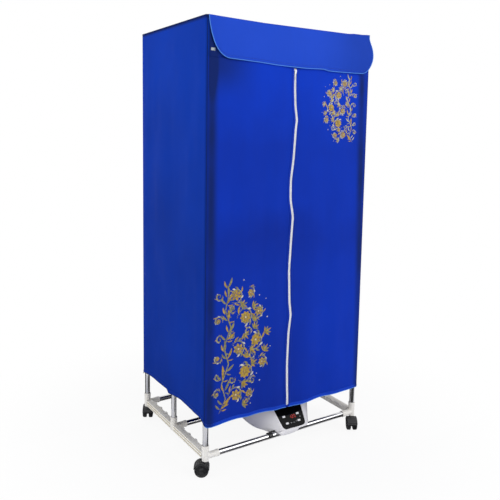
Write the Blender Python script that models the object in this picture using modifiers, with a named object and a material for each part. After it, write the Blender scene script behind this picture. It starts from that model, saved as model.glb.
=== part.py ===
# Portable heated clothes dryer: a tube frame on castors under a zipped fabric cover,
# with a fan heater seated on the base bars. Metres, +Z up, front towards -Y.
# The origin is on the floor under the middle of the frame.

import bpy
import bmesh
import math
import numpy as np
from mathutils import Matrix, Vector

# Cover
COVER_WIDTH = 0.680
COVER_DEPTH = 0.500
COVER_TOP = 1.500
HEM_HEIGHT = 0.172
CLOTH = 0.0010
CORNER_RADIUS = 0.012
STILE_WIDTH = 0.015
HEM_CORNER_RADIUS = 0.016
SIDE_FOLD = 0.0030
SIDE_FOLDS = 5
SIDE_FOLD_AT_HEM = 0.45
DOOR_FOLD = 0.0040
DOOR_FOLDS = 3
DOOR_FLAT_MARGIN = 0.060
DOOR_FLAT_HEAD = 0.250

# Valance over the head of the doors
VALANCE_DROP = 0.137
VALANCE_BULGE = 0.0080
VALANCE_CORNER_WIDTH = 0.045
VALANCE_CORNER_LIFT = 0.027
VALANCE_WAVE = 0.200
VALANCE_END_GAP = 0.001
VALANCE_CLEARANCE = 0.0005
DOOR_HEADROOM = 0.0065

# Zip
ZIP_GAP = 0.0016
ZIP_CHAIN_WIDTH = 0.0036
ZIP_CHAIN_THICKNESS = 0.0024
ZIP_END_MARGIN = 0.006
ZIP_HEAD_GAP = 0.0005
SLIDER_HEAD_GAP = 0.0010
SLIDER_NOTCH = 0.0010
SLIDER_WIDTH = 0.0110
SLIDER_LENGTH = 0.0150
SLIDER_PLATE = 0.0010
SLIDER_POST = 0.0010
SLIDER_POST_HEIGHT = 0.0040
SLIDER_EAR = 0.0007
SLIDER_EAR_HEIGHT = 0.0040
PULL_WIDTH = 0.0036
PULL_LENGTH = 0.0280
PULL_THICKNESS = 0.0012
PULL_PIN_RADIUS = 0.0007
PULL_PIN_RISE = 0.0090

# Tube frame
TUBE_RADIUS = 0.0095
TUBE_WALL = 0.0010
TUBE_SIDES = 10
BASE_BAR_HEIGHT = 0.068
MIDDLE_BAR_HEIGHT = 0.780
COVER_SEAT_GAP = 0.0005

# Side rail mouldings
SOCKET_RADIUS = 0.0125
COLLAR_RADIUS = 0.0120
SOCKET_HEIGHT = 0.0376
SOCKET_FLOOR = 0.012
SOCKET_FOOT = 0.016
COLLAR_LENGTH = 0.050
COLLAR_FLOOR = 0.020
BEAM_WIDTH = 0.018
BEAM_HEIGHT = 0.023
BEAM_GROOVE = 0.0015
COMB_ROOT = 0.001
COMB_REACH = 0.010
COMB_THICKNESS = 0.004
COMB_STEP = 0.0005
COMB_PITCH = 0.048
COMB_TOOTH = 0.016

# Castors
WHEEL_RADIUS = 0.024
WHEEL_WIDTH = 0.014
WHEEL_GAP = 0.0104
WHEEL_CHAMFER = 0.002
AXLE_RADIUS = 0.0022
TRAIL = 0.012
HOOD_WALL = 0.0018
HOOD_CLEARANCE = 0.0008
HOOD_FRONT_ANGLE = 12.0
HOOD_REAR_ANGLE = 172.0
STEM_RADIUS = 0.0040
STEM_LENGTH = 0.020
STEM_ROOT = 0.002
STEM_COLLAR_RADIUS = 0.0075
STEM_COLLAR_SINK = 0.006
WEB_FOOT_HALF = 0.0096
WEB_FOOT_DROP = 0.0084
CASTOR_HEADINGS = {"left_front": 148.0, "right_front": 238.0, "left_rear": 58.0, "right_rear": 328.0}

# Heater
HEATER_X = 0.040
HEATER_Y = -0.091
HULL_HALF_WIDTH = 0.162
HULL_HALF_DEPTH = 0.099
HULL_BOTTOM = 0.058
HULL_RIM = 0.172
HULL_FLAT = 0.42
HULL_WALL = 0.0025
HULL_SIDES = 20
HULL_RINGS = 5
LID_CROWN = 0.014
LID_RINGS = 2
LID_SLOTS = 7
LID_SLOT_PITCH = 0.024
LID_SLOT_WIDTH = 0.008
LID_SLOT_LENGTH = 0.120
LEG_OFFSET = 0.060
LEG_WIDTH = 0.012
LEG_HEIGHT = 0.070
LEG_LENGTH = 0.040
LEG_TOE = 0.004
INTAKE_RADIUS = 0.040
INTAKE_SPOKES = 8
INTAKE_WINDOW = 0.010
INTAKE_RIM = 0.005
MOTOR_SEAT = 0.002
MOTOR_RADIUS = 0.019
MOTOR_HEIGHT = 0.024
MOTOR_CHAMFER = 0.002
MOTOR_NECK_RADIUS = 0.006
MOTOR_NECK_HEIGHT = 0.002
SHAFT_RADIUS = 0.0020
SHAFT_LENGTH = 0.016
FAN_RADIUS = 0.055
FAN_BLADES = 7
FAN_HUB_RADIUS = 0.014
FAN_HUB_HEIGHT = 0.014
FAN_BLADE_CHORD = 0.020
FAN_BLADE_THICKNESS = 0.0016
FAN_BLADE_ROOT = 0.003
FAN_BLADE_PITCH = math.radians(28.0)
ELEMENT_WIDTH = 0.110
ELEMENT_DEPTH = 0.064
ELEMENT_HEIGHT = 0.018
ELEMENT_SLOTS = 7
ELEMENT_SLOT_WIDTH = 0.0094
ELEMENT_BORDER = 0.005
HOLDER_HEIGHT = 0.125
HOLDER_PLATE = 0.0025
HOLDER_LEDGE = 0.004
SCREW_INSET = 0.012
SCREW_HEAD_RADIUS = 0.0035
SCREW_SHANK_RADIUS = 0.0015
SCREW_LENGTH = 0.012
SCREW_HEAD_HEIGHT = 0.0018
SCREW_SEAT_GAP = 0.0006
BOSS_RADIUS = 0.005
BOSS_HEIGHT = 0.052
BOSS_TOP = 0.0003
LID_WALL = 0.0025
LID_RIM = 0.0070
SKIRT_DEPTH = 0.005
SKIRT_GAP = 0.0012

# Control pod at the heater's front
PANEL_Y = -0.225
PANEL_Z = 0.110
PANEL_LEAN = math.radians(42.8)
PANEL_LOW = 0.0365
PANEL_HIGH = 0.047
PANEL_LOW_HALF = 0.045
PANEL_HIGH_HALF = 0.062
PANEL_CORNER = 0.016
PANEL_THICKNESS = 0.0020
PANEL_PROUD = 0.0002
BEZEL = 0.009
POD_DEPTH = 0.060
POD_BOTTOM = 0.0600
POD_LIP = 0.0095
POD_WALL = 0.003
POD_HEAD_RISE = 0.004
POD_CHIN_DROP = 0.010
POD_FOOT_STEP = 0.005
POD_CAVITY_CORNER = 0.004
BOARD_DEPTH = 0.0085
BOARD_THICKNESS = 0.0016
BOARD_LOW = -0.0255
BOARD_HIGH = 0.0285
BUTTON_WIDTH = 0.0090
BUTTON_HEIGHT = 0.0052
BUTTON_PROUD = 0.0010
BUTTON_FLANGE = 0.0010
BUTTON_FLANGE_REACH = 0.0010
BUTTON_PLUNGER_HALF = 0.0015
BUTTON_TRAVEL = 0.0008
BUTTON_PLAY = 0.0001
SWITCH_HALF = 0.0030
SWITCH_HEIGHT = 0.0025
SWITCH_ROOT = 0.0005
BUTTONS = {
    "button_upper_left": (-0.031, 0.007),
    "button_upper_right": (0.031, 0.007),
    "button_lower_left": (-0.0265, -0.018),
    "button_lower_right": (0.0265, -0.018),
}
DISPLAY_X = 0.006
DISPLAY_U = 0.001
DISPLAY_WIDTH = 0.038
DISPLAY_HEIGHT = 0.015
CLIP_X = -0.063
CLIP_WIDTH = 0.016
CLIP_WALL = 0.003
GLAND_RADIUS = 0.006
GLAND_LENGTH = 0.014
GLAND_INSIDE = 0.006
GLAND_STAND_OFF = 0.0035
GLAND_FLANGE_RADIUS = 0.009
GLAND_NECK_RADIUS = 0.0078
GLAND_TIP_RADIUS = 0.0042
GLAND_FLANGE = 0.003
GLAND_HEIGHT = 0.104

# Clearance between pieces that touch, and how far a cutter passes the faces it opens
FIT = 0.0003
PAST = 0.020

# Worked-out places
UPRIGHT_INSET = CLOTH + COVER_SEAT_GAP + SOCKET_RADIUS
UPRIGHT_X = COVER_WIDTH / 2 - UPRIGHT_INSET
UPRIGHT_Y = COVER_DEPTH / 2 - UPRIGHT_INSET
TOP_BAR_HEIGHT = COVER_TOP - CLOTH - COVER_SEAT_GAP - SOCKET_RADIUS
DOOR_Y = -COVER_DEPTH / 2 + CLOTH / 2
HINGE_X = COVER_WIDTH / 2 - STILE_WIDTH
VALANCE_TOP = COVER_TOP - CLOTH
VALANCE_Y = -COVER_DEPTH / 2 - VALANCE_CLEARANCE - CLOTH / 2
DOOR_TOP = VALANCE_TOP - VALANCE_DROP - DOOR_HEADROOM
CHAIN_X = ZIP_GAP / 2 + ZIP_CHAIN_WIDTH / 2
SLIDER_TOP = DOOR_TOP - SLIDER_HEAD_GAP
SLIDER_BOTTOM = SLIDER_TOP - SLIDER_LENGTH
HULL_OPEN = HULL_RIM + PAST
PANEL_BACK = PANEL_PROUD - PANEL_THICKNESS
PANEL_ORIGIN = Vector((HEATER_X, PANEL_Y, PANEL_Z))
PANEL_FRAME = Matrix.Translation(PANEL_ORIGIN) @ Matrix.Rotation(math.pi / 2 - PANEL_LEAN, 4, "X")

SIDES = (("left", -1), ("right", 1))
ROWS = (("front", -1), ("middle", 0), ("rear", 1))


def remove_everything():
    """Empty the open file."""
    for item in list(bpy.data.objects):
        bpy.data.objects.remove(item, do_unlink=True)
    for group in list(bpy.data.collections):
        bpy.data.collections.remove(group)


def new_collection(name):
    group = bpy.data.collections.new(name)
    bpy.context.scene.collection.children.link(group)
    return group


remove_everything()
PARTS = new_collection("clothes_dryer")
CUTTERS = new_collection("cutters")
MATERIALS = {}


def material(name, colour, roughness, metallic=0.0):
    """A Principled material, made once under its name."""
    if name not in MATERIALS:
        made = bpy.data.materials.new(name)
        made.use_nodes = True
        shader = made.node_tree.nodes["Principled BSDF"]
        shader.inputs["Base Color"].default_value = (*colour, 1.0)
        shader.inputs["Roughness"].default_value = roughness
        shader.inputs["Metallic"].default_value = metallic
        MATERIALS[name] = made
    return MATERIALS[name]


def chrome():
    return material("chromed_steel", (0.70, 0.71, 0.74), 0.18, 1.0)


def ivory():
    return material("ivory_plastic", (0.80, 0.79, 0.75), 0.45)


def white():
    return material("white_plastic", (0.86, 0.86, 0.88), 0.35)


def black():
    return material("black_plastic", (0.02, 0.02, 0.022), 0.45)


def blue():
    return material("blue_fabric", (0.012, 0.045, 0.45), 0.75)


def pale_blue():
    return material("valance_fabric", (0.03, 0.10, 0.62), 0.72)


def zip_white():
    return material("zip_plastic", (0.85, 0.87, 0.92), 0.40)


def glossy():
    return material("panel_acrylic", (0.012, 0.012, 0.014), 0.12)


def steel():
    return material("bare_steel", (0.55, 0.56, 0.58), 0.35, 1.0)


def board_green():
    return material("circuit_board", (0.03, 0.20, 0.08), 0.50)


def ceramic():
    return material("heating_ceramic", (0.50, 0.49, 0.47), 0.55, 0.6)


def add_object(name, mesh, finish=None, place=None):
    """Link a mesh as a named sub-part, or as a cutter where it has no finish."""
    item = bpy.data.objects.new(name, mesh)
    if finish is None:
        CUTTERS.objects.link(item)
        item.hide_render = True
        item.display_type = "WIRE"
    else:
        PARTS.objects.link(item)
        mesh.materials.clear()
        mesh.materials.append(finish)
    if place is not None:
        item.matrix_world = place
    return item


def mesh_from(build):
    """Run a builder on an empty bmesh and return its mesh, faces outwards."""
    shape = bmesh.new()
    build(shape)
    bmesh.ops.recalc_face_normals(shape, faces=shape.faces)
    mesh = bpy.data.meshes.new("shape")
    shape.to_mesh(mesh)
    shape.free()
    return mesh


def smooth(mesh, degrees=35.0):
    mesh.shade_smooth()
    mesh.set_sharp_from_angle(angle=math.radians(degrees))
    return mesh


def box_mesh(low, high):
    """A box between two corners."""
    low = Vector(low)
    high = Vector(high)
    size = high - low

    def build(shape):
        place = Matrix.Translation((low + high) / 2) @ Matrix.Diagonal((*size, 1.0))
        bmesh.ops.create_cube(shape, size=1.0, matrix=place)

    return mesh_from(build)


def rod_mesh(start, end, radius, sides=TUBE_SIDES, end_radius=None):
    """A solid rod or cone between two points."""
    start = Vector(start)
    end = Vector(end)
    axis = end - start
    turn = axis.to_track_quat("Z", "Y").to_matrix().to_4x4()
    far = radius if end_radius is None else end_radius

    def build(shape):
        place = Matrix.Translation((start + end) / 2) @ turn
        bmesh.ops.create_cone(shape, cap_ends=True, segments=sides, radius1=radius, radius2=far,
                              depth=axis.length, matrix=place)

    return mesh_from(build)


def prism_mesh(outline, low, high):
    """An outline in XY carried from one height to another."""
    def build(shape):
        corners = [shape.verts.new((x, y, low)) for x, y in outline]
        face = shape.faces.new(corners)
        grown = bmesh.ops.extrude_face_region(shape, geom=[face])
        raised = [v for v in grown["geom"] if isinstance(v, bmesh.types.BMVert)]
        bmesh.ops.translate(shape, verts=raised, vec=(0, 0, high - low))

    return mesh_from(build)


def turned_mesh(profile, sides, squash=1.0):
    """A closed profile of (radius, height) turned about Z, its Y squashed for an oval."""
    def build(shape):
        verts = [shape.verts.new((r, 0, h)) for r, h in profile]
        on_axis = profile[0][0] == 0.0
        edges = [shape.edges.new((a, b)) for a, b in zip(verts, verts[1:])]
        if not on_axis:
            edges.append(shape.edges.new((verts[-1], verts[0])))
        bmesh.ops.spin(shape, geom=verts + edges, cent=(0, 0, 0), axis=(0, 0, 1),
                       angle=2 * math.pi, steps=sides, use_merge=True)
        bmesh.ops.remove_doubles(shape, verts=shape.verts, dist=1e-6)
        bmesh.ops.scale(shape, vec=(1.0, squash, 1.0), verts=shape.verts)

    return mesh_from(build)


def rounded_outline(corners, radii, steps=3):
    """A polygon whose corners are replaced with arcs of the given radii."""
    points = []
    count = len(corners)
    for i, radius in enumerate(radii):
        here = Vector(corners[i])
        before = (Vector(corners[i - 1]) - here).normalized()
        after = (Vector(corners[(i + 1) % count]) - here).normalized()
        if radius <= 0:
            points.append(tuple(here))
            continue
        half = before.angle(after) / 2
        centre = here + (before + after).normalized() * (radius / math.sin(half))
        first = here + before * (radius / math.tan(half)) - centre
        last = here + after * (radius / math.tan(half)) - centre
        for k in range(steps + 1):
            mixed = first.slerp(last, k / steps)
            points.append(tuple(centre + mixed.normalized() * radius))
    return points


def combine(base, others, operation):
    """The Boolean of one mesh with a list of meshes, as a new mesh."""
    body = bpy.data.objects.new("working", base)
    CUTTERS.objects.link(body)
    helpers = []
    for mesh in others:
        helper = bpy.data.objects.new("helper", mesh)
        CUTTERS.objects.link(helper)
        helpers.append(helper)
        step = body.modifiers.new("step", "BOOLEAN")
        step.operation = operation
        step.solver = "EXACT"
        step.object = helper
    graph = bpy.context.evaluated_depsgraph_get()
    graph.update()
    result = bpy.data.meshes.new_from_object(body.evaluated_get(graph))
    for item in helpers + [body]:
        bpy.data.objects.remove(item, do_unlink=True)
    return result


def join(base, others):
    return combine(base, others, "UNION")


def cut(base, others):
    return combine(base, others, "DIFFERENCE")


def placed(mesh, place):
    """A copy of a mesh moved by a matrix."""
    moved = mesh.copy()
    moved.transform(place)
    if place.determinant() < 0:
        moved.flip_normals()
    return moved


def sheet_mesh(points, thickness_vectors):
    """A closed skin over a grid of points and the same grid moved by its thickness."""
    rows, columns = points.shape[:2]
    front = points.reshape(-1, 3)
    back = (points + thickness_vectors).reshape(-1, 3)
    index = np.arange(rows * columns).reshape(rows, columns)
    quads = np.stack([index[:-1, :-1], index[:-1, 1:], index[1:, 1:], index[1:, :-1]], -1).reshape(-1, 4)
    shift = rows * columns
    rim = np.concatenate([index[0, :-1], index[:-1, -1], index[-1, :0:-1], index[:0:-1, 0]])
    after = np.roll(rim, -1)
    edge = np.stack([rim, rim + shift, after + shift, after], -1)
    faces = np.concatenate([quads, quads[:, ::-1] + shift, edge])
    mesh = bpy.data.meshes.new("sheet")
    mesh.from_pydata(np.concatenate([front, back]).tolist(), [], faces.tolist())

    def build(shape):
        shape.from_mesh(mesh)

    return mesh_from(build)


def bore(radius, sides=TUBE_SIDES):
    """Radius of a faceted hole whose flats clear a pin of the given radius."""
    return (radius + FIT) / math.cos(math.pi / sides)


def smooth_step(value):
    value = np.clip(value, 0.0, 1.0)
    return value * value * (3 - 2 * value)


# Side rails

def rail_mesh(with_upper, with_lower, with_stems):
    """A side rail moulding about its middle socket: +X inwards, Z from the bars' centre line."""
    half = UPRIGHT_Y
    side = BEAM_WIDTH / 2
    top = BEAM_HEIGHT / 2
    groove = BEAM_HEIGHT / 6
    section = [(-side, -top), (side, -top), (side, top), (-side, top)]
    for centre in (top / 2, -top / 2):
        section += [(-side, centre + groove / 2), (-side + BEAM_GROOVE, centre + groove / 4),
                    (-side + BEAM_GROOVE, centre - groove / 4), (-side, centre - groove / 2)]
    beam = prism_mesh(section, -half, half)
    beam.transform(Matrix.Rotation(math.pi / 2, 4, "X"))
    base = [beam, comb_mesh()]
    upper = SOCKET_HEIGHT if with_upper else SOCKET_RADIUS
    lower = -SOCKET_HEIGHT if with_lower else -SOCKET_FOOT
    bores = []
    for name, row in ROWS:
        y = row * half
        base.append(rod_mesh((0, y, lower), (0, y, upper), SOCKET_RADIUS))
        base.append(rod_mesh((0, y, 0), (COLLAR_LENGTH, y, 0), COLLAR_RADIUS))
        hole = bore(TUBE_RADIUS)
        bores.append(rod_mesh((COLLAR_FLOOR, y, 0), (2 * COLLAR_LENGTH, y, 0), hole))
        if with_upper:
            bores.append(rod_mesh((0, y, SOCKET_FLOOR), (0, y, 2 * upper), hole))
        if with_lower:
            bores.append(rod_mesh((0, y, 2 * lower), (0, y, -SOCKET_FLOOR), hole))
        if with_stems and row:
            stem_top = STEM_LENGTH - SOCKET_FOOT + FIT
            bores.append(rod_mesh((0, y, 2 * lower), (0, y, stem_top), bore(STEM_RADIUS)))
    return smooth(cut(join(base[0], base[1:]), bores))


def comb_mesh():
    """A flat comb of hanger teeth along the rail's inner edge."""
    root = BEAM_WIDTH / 2 - COMB_ROOT
    reach = BEAM_WIDTH / 2 + COMB_REACH
    low = reach - COMB_REACH / 2
    span = UPRIGHT_Y - SOCKET_RADIUS
    teeth = int((span - COMB_TOOTH) / COMB_PITCH)
    first = (span - (teeth - 1) * COMB_PITCH) / 2
    edge = [(root, -UPRIGHT_Y), (low, -UPRIGHT_Y)]
    for start in (-UPRIGHT_Y + SOCKET_RADIUS / 2, SOCKET_RADIUS / 2):
        for k in range(teeth):
            middle = start + first + k * COMB_PITCH
            edge += [(low, middle - COMB_TOOTH / 2), (reach, middle - COMB_TOOTH / 4),
                     (reach, middle + COMB_TOOTH / 2), (low, middle + COMB_TOOTH / 2)]
    edge += [(low, UPRIGHT_Y), (root, UPRIGHT_Y)]
    top = BEAM_HEIGHT / 2 - COMB_STEP
    return prism_mesh(edge, top - COMB_THICKNESS, top)


def make_rails():
    kinds = (("base", BASE_BAR_HEIGHT, (True, False, True)),
             ("middle", MIDDLE_BAR_HEIGHT, (True, True, False)),
             ("top", TOP_BAR_HEIGHT, (False, True, False)))
    for level, height, options in kinds:
        shape = rail_mesh(*options)
        for side, sign in SIDES:
            place = Matrix.Translation((sign * UPRIGHT_X, 0, height))
            if sign > 0:
                place = place @ Matrix.Rotation(math.pi, 4, "Z")
            add_object(f"{level}_rail_{side}", shape, ivory(), place)


# Tubes

def tube_mesh(length):
    """A thin-walled tube standing on the origin."""
    inner = TUBE_RADIUS - TUBE_WALL
    profile = [(TUBE_RADIUS, length), (TUBE_RADIUS, 0), (inner, 0), (inner, length)]
    return smooth(turned_mesh(profile, TUBE_SIDES))


def make_uprights():
    lower_start = BASE_BAR_HEIGHT + SOCKET_FLOOR + FIT
    lower_end = MIDDLE_BAR_HEIGHT - SOCKET_FLOOR - FIT
    upper_start = MIDDLE_BAR_HEIGHT + SOCKET_FLOOR + FIT
    upper_end = TOP_BAR_HEIGHT - SOCKET_FLOOR - FIT
    for stage, start, end in (("lower", lower_start, lower_end), ("upper", upper_start, upper_end)):
        shape = tube_mesh(end - start)
        for side, sign in SIDES:
            for row_name, row in ROWS:
                place = Matrix.Translation((sign * UPRIGHT_X, row * UPRIGHT_Y, start))
                add_object(f"{stage}_upright_{side}_{row_name}", shape, chrome(), place)


def make_bars():
    half = UPRIGHT_X - COLLAR_FLOOR - FIT
    shape = tube_mesh(2 * half)
    turn = Matrix.Rotation(math.pi / 2, 4, "Y")
    levels = (("base", BASE_BAR_HEIGHT, ROWS), ("middle", MIDDLE_BAR_HEIGHT, (ROWS[0], ROWS[2])),
              ("top", TOP_BAR_HEIGHT, ROWS))
    for level, height, rows in levels:
        for row_name, row in rows:
            place = Matrix.Translation((-half, row * UPRIGHT_Y, height)) @ turn
            add_object(f"{level}_bar_{row_name}", shape, chrome(), place)


# Castors

def wheel_pair_mesh():
    """Two wheels on one axle, turned about Z."""
    inner = WHEEL_GAP / 2
    outer = inner + WHEEL_WIDTH
    r = WHEEL_RADIUS
    c = WHEEL_CHAMFER
    half = [(0, outer), (r - c, outer), (r, outer - c), (r, inner + c / 2), (r - c / 2, inner),
            (AXLE_RADIUS, inner)]
    mirrored = [(radius, -height) for radius, height in reversed(half)]
    return smooth(turned_mesh(half + mirrored, 16))


def hood_mesh():
    """A fender over both wheels with a web between them, about the swivel axis: the wheel trails on +X."""
    centre = Vector((TRAIL, 0, WHEEL_RADIUS))
    inner = WHEEL_RADIUS + HOOD_CLEARANCE
    outer = inner + HOOD_WALL
    half = WHEEL_GAP / 2 + WHEEL_WIDTH
    angles = np.radians(np.linspace(HOOD_FRONT_ANGLE, HOOD_REAR_ANGLE, 11))
    arc = [(math.cos(a), math.sin(a)) for a in angles]
    fender = [(x * outer, z * outer) for x, z in arc] + [(x * inner, z * inner) for x, z in reversed(arc)]
    upright = Matrix.Translation(centre) @ Matrix.Rotation(math.pi / 2, 4, "X")
    fender_mesh = prism_mesh(fender, -half, half)
    fender_mesh.transform(upright)
    web_half = WHEEL_GAP / 2 - FIT
    web_outline = [(x * (outer - HOOD_WALL / 2), z * (outer - HOOD_WALL / 2)) for x, z in arc]
    web_outline += [(-WEB_FOOT_HALF, -WEB_FOOT_DROP), (WEB_FOOT_HALF, -WEB_FOOT_DROP)]
    web = prism_mesh(web_outline, -web_half, web_half)
    web.transform(upright)
    collar_top = BASE_BAR_HEIGHT - SOCKET_FOOT - FIT
    crown = WHEEL_RADIUS + math.sqrt(outer ** 2 - TRAIL ** 2)
    collar = rod_mesh((0, 0, crown - STEM_COLLAR_SINK), (0, 0, collar_top), STEM_COLLAR_RADIUS)
    stem_end = BASE_BAR_HEIGHT - SOCKET_FOOT + STEM_LENGTH
    stem = rod_mesh((0, 0, collar_top - STEM_ROOT), (0, 0, stem_end), STEM_RADIUS)
    axle = rod_mesh(centre - Vector((0, half, 0)), centre + Vector((0, half, 0)), bore(AXLE_RADIUS))
    rooms = []
    for sign in (-1, 1):
        start = centre + Vector((0, sign * web_half, 0))
        rooms.append(rod_mesh(start, start + Vector((0, sign * 2 * half, 0)), inner, 18))
    shape = cut(join(web, [collar, stem]), [axle] + rooms)
    return smooth(join(shape, [fender_mesh]))


def make_castors():
    hood = hood_mesh()
    wheels = wheel_pair_mesh()
    for side, sign in SIDES:
        for row_name, row in (ROWS[0], ROWS[2]):
            corner = f"{side}_{row_name}"
            swivel = bpy.data.objects.new(f"swivel_{corner}", None)
            PARTS.objects.link(swivel)
            swivel.location = (sign * UPRIGHT_X, row * UPRIGHT_Y, 0)
            swivel.rotation_euler.z = math.radians(CASTOR_HEADINGS[corner])
            hood_object = add_object(f"castor_hood_{corner}", hood, black())
            hood_object.parent = swivel
            wheel_object = add_object(f"castor_wheels_{corner}", wheels, black())
            wheel_object.parent = swivel
            wheel_object.location = (TRAIL, 0, WHEEL_RADIUS)
            wheel_object.rotation_euler.x = math.pi / 2


# Fabric cover

def wall_line(columns_side, columns_back):
    """Plan points of the cover's standing wall, from the left stile round the back to the right stile."""
    half_w = COVER_WIDTH / 2
    half_d = COVER_DEPTH / 2
    r = CORNER_RADIUS
    edge = HINGE_X + CLOTH / 2 + FIT
    turn = [math.radians(a) for a in (0, 45, 90)]
    points = [(-edge, -half_d)]
    corners = (((-half_w + r, -half_d + r), -math.pi / 2), ((-half_w + r, half_d - r), math.pi),
               ((half_w - r, half_d - r), math.pi / 2), ((half_w - r, -half_d + r), 0.0))
    ends = []
    for (cx, cy), start in corners:
        arc = [(cx + r * math.cos(start - a), cy + r * math.sin(start - a)) for a in turn]
        ends.append(arc)
    runs = (columns_side, columns_back, columns_side)
    for arc, following, count in zip(ends, ends[1:], runs):
        points += arc
        a = np.array(arc[-1])
        b = np.array(following[0])
        points += [tuple(a + (b - a) * k / count) for k in range(1, count)]
    points += ends[-1]
    points.append((edge, -half_d))
    return np.array(points)


def outward(line):
    """Unit normals of a plan line that runs clockwise seen from above."""
    along = np.gradient(line, axis=0)
    along /= np.linalg.norm(along, axis=1)[:, None]
    return np.stack([-along[:, 1], along[:, 0]], -1)


def cover_mesh():
    """Walls, top and the yoke over the doors as one sewn shell, open at the floor and at the doors."""
    line = wall_line(columns_side=6, columns_back=8)
    normals = outward(line)
    half_w = COVER_WIDTH / 2 - CORNER_RADIUS
    half_d = COVER_DEPTH / 2 - CORNER_RADIUS
    inside_y = np.clip(line[:, 1] / half_d, -1, 1)
    inside_x = np.clip(line[:, 0] / half_w, -1, 1)
    on_side = np.abs(line[:, 0]) > half_w
    along = np.where(on_side, inside_y, inside_x)
    waves = np.sin(along * math.pi * SIDE_FOLDS / 2) ** 2 * (1 - along ** 4)
    fold = np.where(np.abs(along) < 1, waves, 0.0)
    yoke_bottom = DOOR_TOP + CLOTH / 2
    heights = list(np.linspace(HEM_HEIGHT, yoke_bottom, 6)) + [(yoke_bottom + COVER_TOP) / 2, COVER_TOP]
    front = [(x, -COVER_DEPTH / 2) for x in np.linspace(HINGE_X, -HINGE_X, 9)[1:-1]]
    shape = bmesh.new()
    rows = []
    for height in heights:
        rise = (height - HEM_HEIGHT) / (COVER_TOP - HEM_HEIGHT)
        share = SIDE_FOLD_AT_HEM * (1 - rise) + (1 - SIDE_FOLD_AT_HEM) * math.sin(math.pi * rise)
        moved = line + normals * (SIDE_FOLD * share * fold)[:, None]
        rows.append([shape.verts.new((x, y, height)) for x, y in moved])
    for low, high in zip(rows, rows[1:]):
        for a, b, c, d in zip(low, low[1:], high[1:], high):
            shape.faces.new((a, b, c, d))
    yoke_rows = [row for row, height in zip(rows, heights) if height > yoke_bottom - 1e-6]
    yoke_heights = [height for height in heights if height > yoke_bottom - 1e-6]
    front_rows = []
    for row, height in zip(yoke_rows, yoke_heights):
        strip = [shape.verts.new((x, y, height)) for x, y in front]
        front_rows.append([row[-1]] + strip + [row[0]])
    for low, high in zip(front_rows, front_rows[1:]):
        for a, b, c, d in zip(low, low[1:], high[1:], high):
            shape.faces.new((a, b, c, d))
    shape.faces.new(rows[-1] + front_rows[-1][1:-1])
    bmesh.ops.recalc_face_normals(shape, faces=shape.faces)
    highest = max(shape.faces, key=lambda f: f.calc_center_median().z)
    if highest.normal.z < 0:
        bmesh.ops.reverse_faces(shape, faces=shape.faces)
    mesh = bpy.data.meshes.new("cover")
    shape.to_mesh(mesh)
    shape.free()
    return mesh


def make_cover_body():
    cover = add_object("cover_body", cover_mesh(), blue())
    wall = cover.modifiers.new("cloth", "SOLIDIFY")
    wall.thickness = CLOTH
    wall.offset = -1.0
    wall.use_even_offset = True


def hem_rise(distance):
    """Height that a rounded lower corner takes off an edge, at a distance from the corner."""
    inside = np.clip(HEM_CORNER_RADIUS - distance, 0.0, None)
    return HEM_CORNER_RADIUS - np.sqrt(np.clip(HEM_CORNER_RADIUS ** 2 - inside ** 2, 0.0, None))


def door_mesh():
    """The left door cloth: flat at its hinge and zip edges, with soft standing folds between."""
    left = -HINGE_X
    right = -CHAIN_X - ZIP_CHAIN_WIDTH / 2 - FIT
    corner = left + HEM_CORNER_RADIUS * (1 - np.cos(np.linspace(0, math.pi / 2, 4)))
    x = np.concatenate([corner, np.linspace(corner[-1], right, 15)[1:]])
    rise = np.linspace(0.0, 1.0, 8)
    columns, rows = np.meshgrid(x, rise)
    base = HEM_HEIGHT + hem_rise(columns - left)
    z = base + (DOOR_TOP - base) * rows
    reach = (columns - left) / (right - left)
    margin = smooth_step((columns - left) / DOOR_FLAT_MARGIN)
    margin *= smooth_step((right - columns) / DOOR_FLAT_MARGIN)
    depth = smooth_step((DOOR_TOP - z) / DOOR_FLAT_HEAD)
    y = DOOR_Y - CLOTH / 2 - DOOR_FOLD * margin * depth * np.sin(math.pi * DOOR_FOLDS * reach) ** 2
    points = np.stack([columns, y, z], -1)
    return sheet_mesh(points, np.array([0.0, CLOTH, 0.0]))


def make_doors():
    left = door_mesh()
    notch_half = SLIDER_WIDTH / 2 + SLIDER_NOTCH
    notch = box_mesh((-notch_half, DOOR_Y - PAST, SLIDER_BOTTOM - SLIDER_NOTCH),
                     (notch_half, DOOR_Y + PAST, DOOR_TOP + PAST))
    right = cut(placed(left, Matrix.Diagonal((-1.0, 1.0, 1.0, 1.0))), [notch])
    for side, sign, shape in (("left", -1, left), ("right", 1, right)):
        hinge = Vector((sign * HINGE_X, DOOR_Y, 0))
        shape.transform(Matrix.Translation(-hinge))
        add_object(f"door_{side}", shape, blue(), Matrix.Translation(hinge))


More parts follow.
